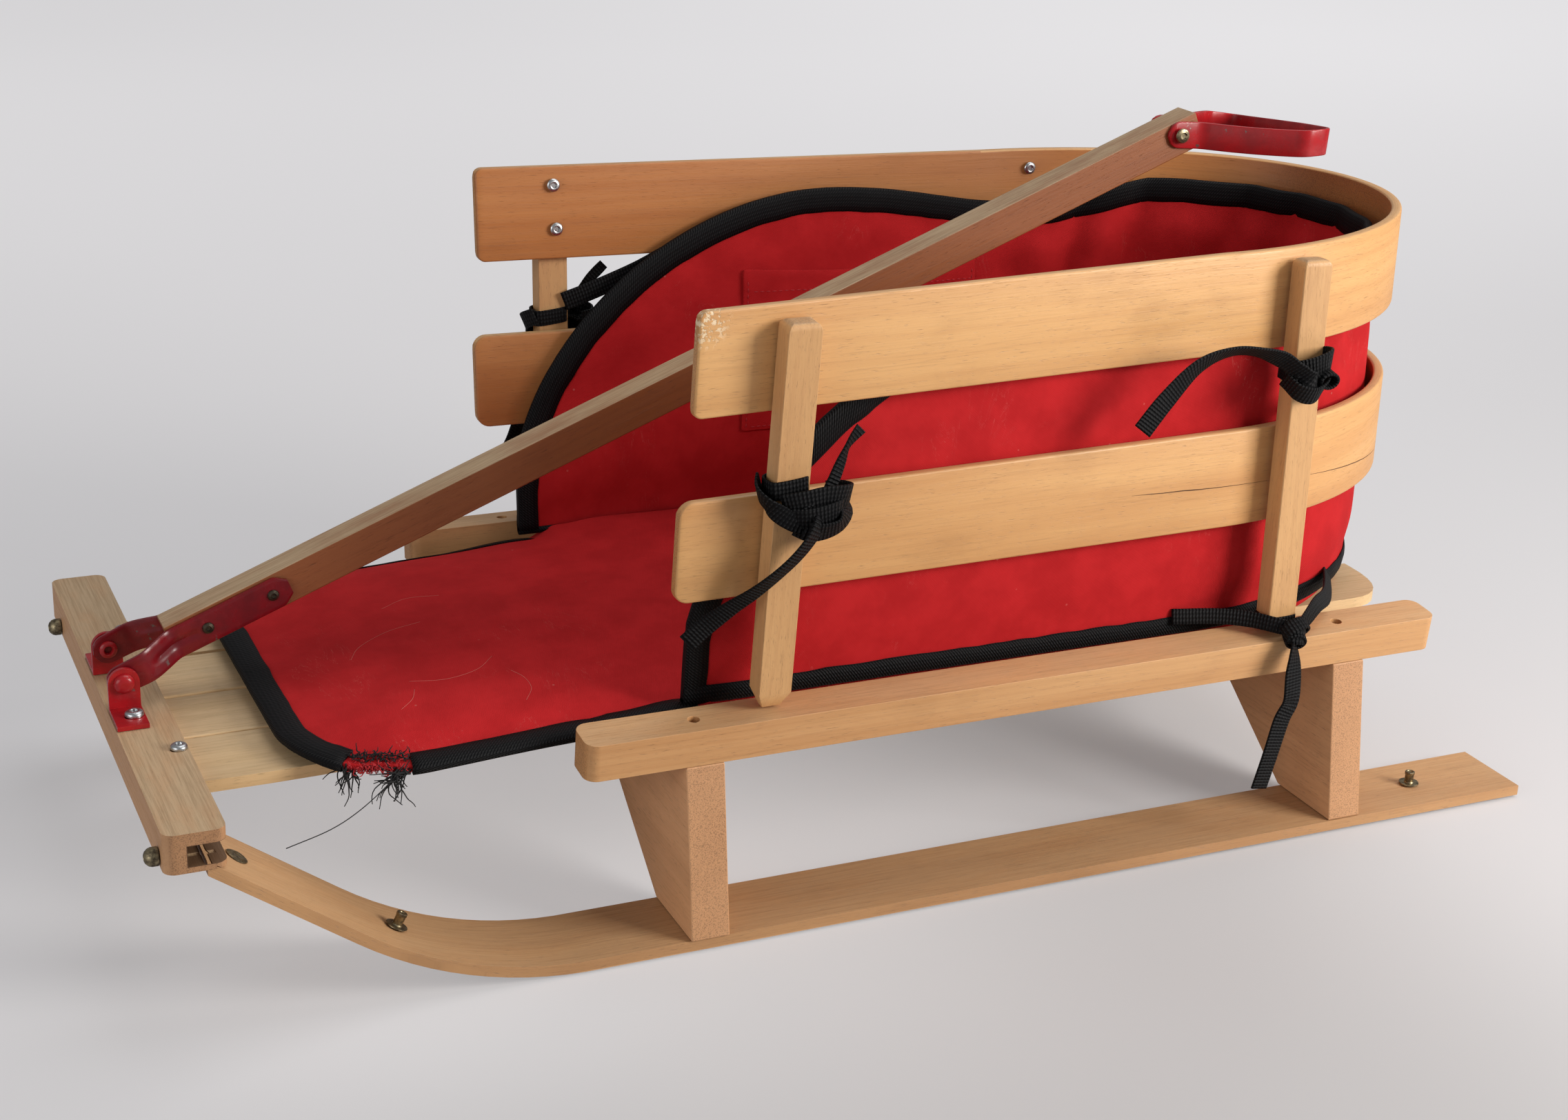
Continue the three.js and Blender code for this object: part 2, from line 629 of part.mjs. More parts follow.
// A patch pocket on the inside of the right wall.
const pocket = bentStrip({
  bottom: POCKET.bottom, top: POCKET.top, inset: wallInset + LINER.thickness + POCKET.gap,
  thickness: POCKET.thickness, frontX: LINER.frontX,
}).intersect(solid(block([POCKET.rearX, -200, 0], [POCKET.frontX, 0, 400])));
add('pocket', geometryOf(pocket), 'fabric');

// ---------------------------------------------------------------- webbing ties

// A tie: a loop round a post of a given section, with its knot on the outer face.
function tie({ halfX, halfY, width, knot }) {
  const thick = 2;
  const clear = 0.6;
  const outer = block([-halfX - clear - thick, -halfY - clear - thick, -width / 2],
    [halfX + clear + thick, halfY + clear + thick, width / 2]);
  const inner = block([-halfX - clear, -halfY - clear, -width],
    [halfX + clear, halfY + clear, width]);
  const lump = block([-knot.x / 2, halfY + clear + 0.2, -knot.z / 2 - knot.drop],
    [knot.x / 2, halfY + clear + thick + knot.y, knot.z / 2 - knot.drop]);
  return geometryOf(solid(outer).subtract(solid(inner)).add(solid(lump)));
}

const postTie = {
  halfX: UPRIGHT.alongX / 2, halfY: UPRIGHT.alongY / 2, width: 11, knot: { x: 26, y: 9, z: 20, drop: 4 },
};
const tieHeights = { front: 245.5, rear: 267 };

for (const [where, post] of Object.entries(UPRIGHTS)) {
  for (const [name, side] of Object.entries(SIDES)) {
    const rise = tieHeights[where] - UPRIGHT.bottom;
    const loop = tie(postTie);
    if (side < 0) loop.rotateZ(Math.PI);
    loop.rotateX(-side * post.lean);
    const x = postX(where, side) - rise * Math.sin(post.rake);
    const y = side * (post.footY + rise * Math.tan(post.lean));
    loop.translate(x, y, tieHeights[where]);
    add(`tie_${where}_${name}`, loop, 'webbing');
  }
}

// The lower ties go round the feet of the rear uprights, just above the side rails.
const footTie = { ...postTie, width: 7, knot: { x: 18, y: 6, z: 7, drop: 0 } };
const footTieZ = 128.4;

for (const [name, side] of Object.entries(SIDES)) {
  const loop = tie(footTie);
  if (side < 0) loop.rotateZ(Math.PI);
  loop.translate(postX('rear', side), side * UPRIGHTS.rear.footY, footTieZ);
  add(`tie_foot_${name}`, loop, 'webbing');
}

// ---------------------------------------------------------------- tow bar hinge

// L brackets screwed to the crossbar carry the pivot.
for (const [name, side] of Object.entries(SIDES)) {
  const { thickness, width, tabY, footLength } = BRACKET;
  const half = width / 2;
  const seat = CROSSBAR.top + GAP;
  const tab = new THREE.Shape();
  tab.moveTo(PIVOT.x - half, seat);
  tab.lineTo(PIVOT.x + half, seat);
  tab.lineTo(PIVOT.x + half, PIVOT.z);
  tab.absarc(PIVOT.x, PIVOT.z, half, 0, Math.PI);
  const ys = [side * tabY, side * (tabY + thickness)].sort((a, b) => a - b);
  const footYs = [side * tabY, side * (tabY + footLength)].sort((a, b) => a - b);
  let bracket = solid(slab(tab, ys[0], ys[1], 8));
  bracket = bracket.add(solid(block([PIVOT.x - half, footYs[0], seat],
    [PIVOT.x + half, footYs[1], seat + thickness])));
  bracket = drill(bracket,
    [[PIVOT.x, side * (tabY - 5), PIVOT.z], [PIVOT.x, side * (tabY + 10), PIVOT.z], PIVOT.radius + GAP],
    [[bracketScrew.x, side * bracketScrew.y, 100], [bracketScrew.x, side * bracketScrew.y, 120],
      bracketScrew.shankRadius + GAP]);
  add(`hinge_bracket_${name}`, geometryOf(bracket), 'paint');
  const screw = screwProfile(bracketScrew.headRadius, 2.6, bracketScrew.shankRadius, bracketScrew.length);
  add(`bracket_screw_${name}`,
    fastener(screw, [bracketScrew.x, side * bracketScrew.y, seat + thickness + GAP], [0, 0, 1]), 'zinc');
  const neck = tabY + thickness;
  const strapFace = STRAP.splayY - STRAP.thickness / 2 - GAP - neck;
  const rivet = [
    [0, -8.2], [4.6, -8.2], [4.6, strapFace], [PIVOT.radius, strapFace], [PIVOT.radius, GAP],
    [5.2, GAP], [5, 1.6], [3, 3.2], [0, 3.6],
  ];
  add(`pivot_rivet_${name}`, fastener(rivet, [PIVOT.x, side * neck, PIVOT.z], [0, side, 0], 16), 'paint');
}

// The tow bar's own frame starts at the pivot and runs along the bar.
const towBar = new THREE.Group();
towBar.position.set(PIVOT.x, 0, PIVOT.z);
towBar.rotation.y = BAR.angle;
sleigh.add(towBar);

const barHalf = BAR.width / 2;
const bar = drill(
  solid(block([-BAR.end, -barHalf, -BAR.height / 2], [-BAR.start, barHalf, BAR.height / 2])),
  [[-STRAP_RIVETS.inner, -30, 0], [-STRAP_RIVETS.inner, 30, 0], STRAP_RIVETS.radius + GAP],
  [[-STRAP_RIVETS.outer, -30, 0], [-STRAP_RIVETS.outer, 30, 0], STRAP_RIVETS.radius + GAP],
  [[-GRIP.pin, -30, GRIP.pinRise], [-GRIP.pin, 30, GRIP.pinRise], GRIP.pinRadius + GAP],
);
add('tow_bar', geometryOf(bar), 'wood', towBar);

// A strap's line seen from above: along the bar's side, then out to the pivot.
function strapBody(side) {
  const inner = barHalf + GAP;
  const outer = inner + STRAP.thickness;
  const { splayFrom, splayTo, end, thickness, headRadius, cornerCut } = STRAP;
  const splay = STRAP.splayY - thickness / 2;
  const plan = outline([
    [headRadius + 1, splay], [-splayFrom, splay], [-splayTo, inner], [-end, inner],
    [-end, outer], [-splayTo - 1, outer], [-splayFrom - 1, splay + thickness],
    [headRadius + 1, splay + thickness],
  ].map(([x, y]) => [x, y * side]));
  const half = STRAP.height / 2;
  const profile = new THREE.Shape();
  profile.moveTo(0, -headRadius);
  profile.absarc(0, 0, headRadius, -Math.PI / 2, Math.PI / 2);
  profile.lineTo(-splayFrom - 6, half);
  profile.lineTo(-end + cornerCut, half);
  profile.lineTo(-end, half - cornerCut);
  profile.lineTo(-end, -half + cornerCut);
  profile.lineTo(-end + cornerCut, -half);
  profile.lineTo(-splayFrom - 6, -half);
  const body = solid(plate(plan, -20, 20)).intersect(solid(slab(profile, -60, 60, 8)));
  return drill(body,
    [[0, -40, 0], [0, 40, 0], PIVOT.radius + GAP],
    [[-STRAP_RIVETS.inner, -40, 0], [-STRAP_RIVETS.inner, 40, 0], STRAP_RIVETS.radius + GAP],
    [[-STRAP_RIVETS.outer, -40, 0], [-STRAP_RIVETS.outer, 40, 0], STRAP_RIVETS.radius + GAP]);
}

for (const [name, side] of Object.entries(SIDES)) {
  add(`tow_strap_${name}`, geometryOf(strapBody(side)), 'paint', towBar);
}

// A headed pin right through from side to side.
function throughPin(reach, shank, headRadius, headHeight, along, rise = 0) {
  const profile = [
    [0, -reach - headHeight], [headRadius, -reach - headHeight * 0.6], [headRadius, -reach],
    [shank, -reach], [shank, reach], [headRadius, reach], [headRadius, reach + headHeight * 0.6],
    [0, reach + headHeight],
  ];
  return fastener(profile, [-along, 0, rise], [0, 1, 0], 16);
}

const strapOuter = barHalf + GAP + STRAP.thickness + GAP;
const rivetHeadHeight = 1.2;
for (const [name, along] of [['front', STRAP_RIVETS.inner], ['rear', STRAP_RIVETS.outer]]) {
  const { radius, headRadius } = STRAP_RIVETS;
  const rivet = throughPin(strapOuter, radius, headRadius, rivetHeadHeight, along);
  add(`strap_rivet_${name}`, rivet, 'brass', towBar);
}

// ---------------------------------------------------------------- grip loop

const grip = new THREE.Group();
grip.position.set(-GRIP.pin, 0, GRIP.pinRise);
grip.rotation.y = GRIP.droop;
towBar.add(grip);

const gripInner = barHalf + 2.2;
const gripOuter = gripInner + GRIP.thickness;

// One edge of the grip's plan: along the bar's sides, splayed arms and a straight hand hold.
function gripEdge(offset) {
  const y = gripInner + offset;
  const { length, halfWidth, armFrom, armShare, handShare } = GRIP;
  const corner = halfWidth - GRIP.thickness + offset;
  const end = length - GRIP.thickness + offset;
  return [
    [9, -y], [-armFrom, -y], [-length * armShare, -corner], [-end, -corner * handShare],
    [-end, corner * handShare], [-length * armShare, corner], [-armFrom, y], [9, y],
  ];
}

// The loop is a flat strip bent round. Use has twisted it, so its left side stands higher.
function gripBody() {
  const plan = outline([...gripEdge(0), ...gripEdge(GRIP.thickness).reverse()]);
  const half = GRIP.height / 2;
  const profile = new THREE.Shape();
  profile.moveTo(0, -half);
  profile.absarc(0, 0, half, -Math.PI / 2, Math.PI / 2);
  profile.lineTo(-GRIP.length - 5, half);
  profile.lineTo(-GRIP.length - 5, -half);
  const body = solid(plate(plan, -20, 20)).intersect(solid(slab(profile, -90, 90, 8)));
  const geometry = geometryOf(drill(body, [[0, -40, 0], [0, 40, 0], GRIP.pinRadius + GAP]));
  const position = geometry.attributes.position;
  for (let i = 0; i < position.count; i += 1) {
    const along = Math.max(0, -position.getX(i) - GRIP.armFrom) / GRIP.length;
    position.setZ(i, position.getZ(i) + GRIP.twist * position.getY(i) * along);
  }
  return geometry;
}

add('grip_loop', gripBody(), 'paint', grip);
const gripPinHeadHeight = 1.4;
const gripPin = throughPin(
  gripOuter + GAP, GRIP.pinRadius, GRIP.pinHeadRadius, gripPinHeadHeight, GRIP.pin, GRIP.pinRise);
add('grip_pin', gripPin, 'brass', towBar);

export default sleigh;
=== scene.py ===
"""The looks of a child's wooden pull sleigh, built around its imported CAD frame.

Lengths in this script are millimetres in the sleigh's own frame, which is the row frame shifted
forward and up: place() turns them into metres in the row frame.
"""
import json
import math
import random
import zlib

import bmesh
import bpy
import numpy as np
from mathutils import Matrix, Vector
from mathutils.bvhtree import BVHTree

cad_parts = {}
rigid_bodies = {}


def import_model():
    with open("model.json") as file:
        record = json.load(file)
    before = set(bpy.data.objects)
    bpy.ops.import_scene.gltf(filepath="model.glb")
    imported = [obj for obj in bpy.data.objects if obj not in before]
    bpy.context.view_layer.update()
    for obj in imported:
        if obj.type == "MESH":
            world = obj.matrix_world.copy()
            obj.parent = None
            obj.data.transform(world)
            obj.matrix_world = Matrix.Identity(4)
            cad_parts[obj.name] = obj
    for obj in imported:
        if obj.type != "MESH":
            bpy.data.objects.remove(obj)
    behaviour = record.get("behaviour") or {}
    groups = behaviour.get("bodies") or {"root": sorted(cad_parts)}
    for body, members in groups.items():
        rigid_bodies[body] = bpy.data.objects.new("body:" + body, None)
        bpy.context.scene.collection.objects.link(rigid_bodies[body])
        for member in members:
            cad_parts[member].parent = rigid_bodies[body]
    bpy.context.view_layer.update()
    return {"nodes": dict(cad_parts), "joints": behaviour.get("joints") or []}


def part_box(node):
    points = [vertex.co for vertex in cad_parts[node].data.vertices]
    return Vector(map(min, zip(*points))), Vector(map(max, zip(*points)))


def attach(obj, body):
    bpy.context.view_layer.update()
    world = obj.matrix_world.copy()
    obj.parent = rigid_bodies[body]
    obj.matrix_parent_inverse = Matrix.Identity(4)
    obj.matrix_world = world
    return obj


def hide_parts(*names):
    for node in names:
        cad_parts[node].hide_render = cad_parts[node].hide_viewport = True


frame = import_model()
nodes = frame["nodes"]
joints = {joint["name"]: joint for joint in frame["joints"]}

MM = 0.001

# ---------------------------------------------------------------- places taken from the frame


def box(name):
    """A node's lowest and highest corners, in millimetres of the row frame."""
    low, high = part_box(name)
    return np.array(low) / MM, np.array(high) / MM


MIDDLE_X = 73.0                       # from the row frame's origin back to the sleigh frame's
LIFT = box("runner_left")[0][2]       # the runners stand this far above the ground

pivot = np.array(joints["tow_bar_hinge"]["pos_m"]) / MM + [MIDDLE_X, 0, -LIFT]
grip_pivot = np.array(joints["grip_hinge"]["pos_m"]) / MM + [MIDDLE_X, 0, -LIFT]

HOOP_THICKNESS = 6.0
BEND_X = -110.0                       # where the hoops start to bend round the back
BEND_LENGTH = 192.0
LINER_CLEARANCE = 3.2
LINER_THICKNESS = 10.0
LINER_BOTTOM = 119.5
LINER_TOP = 320.0
LINER_FRONT = 195.0
POSTS = {
    "front": {"x": 160.5, "skew": -4.5, "foot_y": 156.4, "lean": math.radians(4.7), "top": 331},
    "rear": {"x": -149.0, "skew": -5.0, "foot_y": 156.8, "lean": math.radians(-2.6), "top": 333},
}
POST_FOOT_Z = 122.4
POST_HALF = 6.4
POST_GAP = 2.0
BAR_ANGLE = math.radians(21.75)
GRIP_ANGLE = math.radians(21.75 - 25.5)


def place(points):
    """Sleigh-frame millimetres to row-frame metres."""
    return (np.asarray(points, float) - [MIDDLE_X, 0, -LIFT]) * MM


def half_width(x, z):
    """The half width of the hoops' outer faces at a height, on their straight stretch."""
    def at(post):
        rise = (z - POST_FOOT_Z) * math.tan(post["lean"])
        return post["foot_y"] - POST_HALF + rise - POST_GAP
    front, rear = POSTS["front"], POSTS["rear"]
    share = (x - rear["x"]) / (front["x"] - rear["x"])
    return at(rear) + (at(front) - at(rear)) * share


def rim(q, z, inset, front):
    """Points on a line round the sides and back: q runs 0 to 1 down the left side, 1 to 2 round
    the bend and 2 to 3 up the right side. Inset is measured in from the hoops' outer faces."""
    q, z, inset = np.broadcast_arrays(*[np.asarray(value, float) for value in (q, z, inset)])
    turn = np.pi * np.clip(q - 1, 0, 1)
    x = np.where(q < 1, front + (BEND_X - front) * q, BEND_X - (BEND_LENGTH - inset) * np.sin(turn))
    x = np.where(q > 2, BEND_X + (front - BEND_X) * (q - 2), x)
    side = np.where(q < 1.5, 1.0, -1.0)
    straight = side * (half_width(x, z) - inset)
    bend = (half_width(BEND_X, z) - inset) * np.cos(turn)
    y = np.where((q < 1) | (q > 2), straight, bend)
    return np.stack([x, y, z], -1)


def smooth(value):
    """Eases a value from 0 to 1, held at both ends."""
    value = np.clip(value, 0, 1)
    return value * value * (3 - 2 * value)


def seed_of(name):
    """A piece's own seed, made from its name."""
    return zlib.crc32(name.encode())


# ---------------------------------------------------------------- meshes


def ring_faces(rows, cols, close_rows=False, close_cols=True):
    """Quads between neighbouring rows of a grid of points."""
    faces = []
    for r in range(rows if close_rows else rows - 1):
        s = (r + 1) % rows
        for c in range(cols if close_cols else cols - 1):
            d = (c + 1) % cols
            faces.append((r * cols + c, s * cols + c, s * cols + d, r * cols + d))
    return faces


def make(name, points, faces, body, material, grain):
    """Makes a piece from sleigh-frame points and grain coordinates, both in millimetres."""
    points = np.asarray(points, float).reshape(-1, 3)
    grain = np.asarray(grain, float).reshape(-1, 3)
    mesh = bpy.data.meshes.new(name)
    mesh.from_pydata(place(points).tolist(), [], faces)
    set_grain(mesh, grain, name)
    mesh.polygons.foreach_set("use_smooth", [True] * len(mesh.polygons))
    mesh.materials.append(material)
    mesh.update()
    obj = bpy.data.objects.new(name, mesh)
    bpy.context.scene.collection.objects.link(obj)
    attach(obj, body)
    return obj


def set_grain(mesh, grain, name):
    """Stores where each point lies along, across and through the grain, in metres."""
    draw = random.Random(seed_of(name))
    shift = np.array([draw.uniform(1, 9) for _ in range(3)])
    values = (np.asarray(grain, float) * MM + shift).astype(np.float32)
    attribute = mesh.attributes.new("grain", "FLOAT_VECTOR", "POINT")
    attribute.data.foreach_set("vector", values.ravel())


def sweep(name, rows, body, material, grain, closed=False):
    """A solid swept through rows of closed section points, with flat ends unless it is closed."""
    rows = np.asarray(rows, float)
    count, cols = rows.shape[:2]
    faces = ring_faces(count, cols, close_rows=closed)
    if not closed:
        faces.append(tuple(range(cols)))
        faces.append(tuple(reversed(range((count - 1) * cols, count * cols))))
    obj = make(name, rows, faces, body, material, grain)
    fix_normals(obj)
    return obj


def fix_normals(obj):
    """Turns every face outwards."""
    work = bmesh.new()
    work.from_mesh(obj.data)
    bmesh.ops.recalc_face_normals(work, faces=work.faces)
    work.to_mesh(obj.data)
    work.free()


def sharpen(obj, degrees):
    """Marks the edges that turn by more than an angle as sharp."""
    work = bmesh.new()
    work.from_mesh(obj.data)
    for edge in work.edges:
        if len(edge.link_faces) == 2 and edge.calc_face_angle(0) > math.radians(degrees):
            edge.smooth = False
    work.to_mesh(obj.data)
    work.free()


def padded(name, outer, inner, grain, inner_grain, material):
    """A closed sheet from two grids of points, one for each face, joined round their borders."""
    cols, rows = np.shape(outer)[:2]
    count = cols * rows
    faces = ring_faces(cols, rows, close_cols=False)
    faces += [tuple(count + i for i in face[::-1]) for face in faces]
    border = [i * rows for i in range(cols)] + [(cols - 1) * rows + j for j in range(1, rows)]
    border += [i * rows + rows - 1 for i in range(cols - 2, -1, -1)] + [j for j in range(rows - 2, 0, -1)]
    for a, b in zip(border, border[1:] + border[:1]):
        faces.append((a, b, b + count, a + count))
    made = make(name, np.concatenate([np.reshape(outer, (-1, 3)), np.reshape(inner, (-1, 3))]), faces,
                "sleigh", material, np.concatenate([grain, inner_grain]))
    fix_normals(made)
    return made


def circle(centre, first, second, radius, count):
    """Points round a circle that lies along two directions at right angles."""
    angles = 2 * math.pi * np.arange(count) / count
    return centre + radius * (np.outer(np.cos(angles), first) + np.outer(np.sin(angles), second))


def tubes(name, lines, radii, sides, guide, material):
    """Many thin tubes as one piece: radii run along each line, and guide sets how a tube is turned."""
    points, faces, grain = [], [], []
    for line in lines:
        along = np.gradient(np.asarray(line, float), axis=0)
        base = len(points)
        for i, spot in enumerate(line):
            axis = along[i] / np.linalg.norm(along[i])
            first = np.cross(axis, guide)
            first /= np.linalg.norm(first)
            points.extend(circle(spot, first, np.cross(axis, first), radii[i], sides))
            grain += [(i, 0, 0)] * sides
        last = base + (len(line) - 1) * sides
        faces += [tuple(base + i for i in face) for face in ring_faces(len(line), sides)]
        faces += [tuple(range(base, base + sides)), tuple(reversed(range(last, last + sides)))]
    return make(name, points, faces, "sleigh", material, grain)


def run_of(points):
    """The distance run along a line, at each of its points."""
    return np.concatenate([[0], np.cumsum(np.linalg.norm(np.diff(points, axis=0), axis=1))])


def unit(rows):
    """Each row at length one."""
    return rows / np.linalg.norm(rows, axis=1)[:, None]


def rounded_section(half_across, half_thick, radius, steps=3):
    """A rounded rectangle as (across, through) pairs, running round once."""
    points = []
    for cx, cy, start in ((1, 1, 0), (-1, 1, 90), (-1, -1, 180), (1, -1, 270)):
        for i in range(steps + 1):
            angle = math.radians(start + 90 * i / steps)
            points.append((cx * (half_across - radius) + radius * math.cos(angle),
                           cy * (half_thick - radius) + radius * math.sin(angle)))
    return points


def spline(points, step, closed=False):
    """A Catmull-Rom curve through points of any width, sampled about every step millimetres."""
    points = np.asarray(points, float)
    if closed:
        padded = np.vstack([points[-1], points, points[0], points[1]])
    else:
        padded = np.vstack([2 * points[0] - points[1], points, 2 * points[-1] - points[-2]])
    out = []
    for i in range(1, len(padded) - 2):
        a, b, c, d = padded[i - 1:i + 3]
        count = max(2, int(np.linalg.norm((c - b)[:3]) / step))
        for t in np.arange(count) / count:
            out.append(0.5 * (2 * b + (c - a) * t + (2 * a - 5 * b + 4 * c - d) * t ** 2
                              + (3 * b - a - 3 * c + d) * t ** 3))
    if not closed:
        out.append(points[-1])
    return np.array(out)


def strap(name, path, width, thick, body, material, closed=False, step=2.0, wave=0.0):
    """A flat strap along path, whose rows are a point and the way that its width points."""
    line = spline(path, step, closed)
    points, across = line[:, :3], line[:, 3:6]
    if closed:
        along = np.roll(points, -1, 0) - np.roll(points, 1, 0)
    else:
        along = np.gradient(points, axis=0)
    along = unit(along)
    across = unit(across - (across * along).sum(1)[:, None] * along)
    through = np.cross(along, across)
    run = run_of(points)
    section = rounded_section(width / 2, thick / 2, thick * 0.45)
    rows, grain = [], []
    for i in range(len(points)):
        bow = wave * math.sin(run[i] / 7.0)
        rows.append([points[i] + across[i] * a + through[i] * (b + bow * (1 - (2 * a / width) ** 2))
                     for a, b in section])
        grain.append([(run[i], a, b) for a, b in section])
    return sweep(name, rows, body, material, grain, closed)


# ---------------------------------------------------------------- materials


class Shader:
    """A short way to wire a Principled material."""

    def __init__(self, name):
        self.material = bpy.data.materials.new(name)
        self.material.use_nodes = True
        self.tree = self.material.node_tree
        self.bsdf = self.tree.nodes["Principled BSDF"]

    def node(self, kind, inputs=(), **settings):
        made = self.tree.nodes.new(kind)
        for key, value in settings.items():
            setattr(made, key, value)
        for key, value in dict(inputs).items():
            self.put(made.inputs[key], value)
        return made

    def put(self, socket, value):
        if isinstance(value, bpy.types.NodeSocket):
            self.tree.links.new(value, socket)
        elif socket.type == "RGBA" and len(value) == 3:
            socket.default_value = (*value, 1)
        else:
            socket.default_value = value

    def grain(self, scale=(1, 1, 1)):
        source = self.node("ShaderNodeAttribute", attribute_name="grain").outputs["Vector"]
        return self.node("ShaderNodeVectorMath", {0: source, 1: scale}, operation="MULTIPLY").outputs[0]

    def position(self):
        return self.node("ShaderNodeTexCoord").outputs["Object"]

    def up(self):
        normal = self.node("ShaderNodeTexCoord").outputs["Normal"]
        return self.node("ShaderNodeSeparateXYZ", {0: normal}).outputs["Z"]

    def end_facing(self, axis):
        normal = self.node("ShaderNodeTexCoord").outputs["Normal"]
        return self.node("ShaderNodeSeparateXYZ", {0: normal}).outputs[axis]

    def noise(self, vector, scale=1.0, detail=3.0, rough=0.5, twist=0.0):
        made = self.node("ShaderNodeTexNoise", {
            "Vector": vector, "Scale": scale, "Detail": detail, "Roughness": rough, "Distortion": twist})
        return made.outputs["Fac"]

    def math(self, operation, a, b=0.0, clamp=False):
        made = self.node("ShaderNodeMath", {0: a, 1: b}, operation=operation, use_clamp=clamp)
        return made.outputs[0]

    def fit(self, value, low, high, to_low=0.0, to_high=1.0):
        made = self.node("ShaderNodeMapRange", {
            "Value": value, "From Min": low, "From Max": high, "To Min": to_low, "To Max": to_high},
            interpolation_type="SMOOTHSTEP")
        return made.outputs[0]

    def mix(self, share, a, b):
        made = self.node("ShaderNodeMix", data_type="RGBA")
        self.put(made.inputs[0], share)
        self.put(made.inputs[6], a)
        self.put(made.inputs[7], b)
        return made.outputs[2]

    def bump(self, height, distance, strength=1.0, under=None):
        made = self.node("ShaderNodeBump", {"Height": height, "Distance": distance, "Strength": strength})
        if under is not None:
            self.put(made.inputs["Normal"], under)
        return made.outputs["Normal"]

    def near(self, centre, radius):
        """1 at a point of the row frame, falling to 0 at a radius, both in metres."""
        away = self.node("ShaderNodeVectorMath", {0: self.position(), 1: tuple(centre)},
                         operation="DISTANCE").outputs["Value"]
        return self.fit(away, radius, radius * 0.35)

    def finish(self, **inputs):
        names = {"color": "Base Color", "rough": "Roughness", "metal": "Metallic", "normal": "Normal",
                 "sheen": "Sheen Weight", "sheen_rough": "Sheen Roughness", "coat": "Coat Weight",
                 "coat_rough": "Coat Roughness", "specular": "Specular IOR Level", "tint": "Sheen Tint"}
        for key, value in inputs.items():
            self.put(self.bsdf.inputs[names[key]], value)
        return self.material


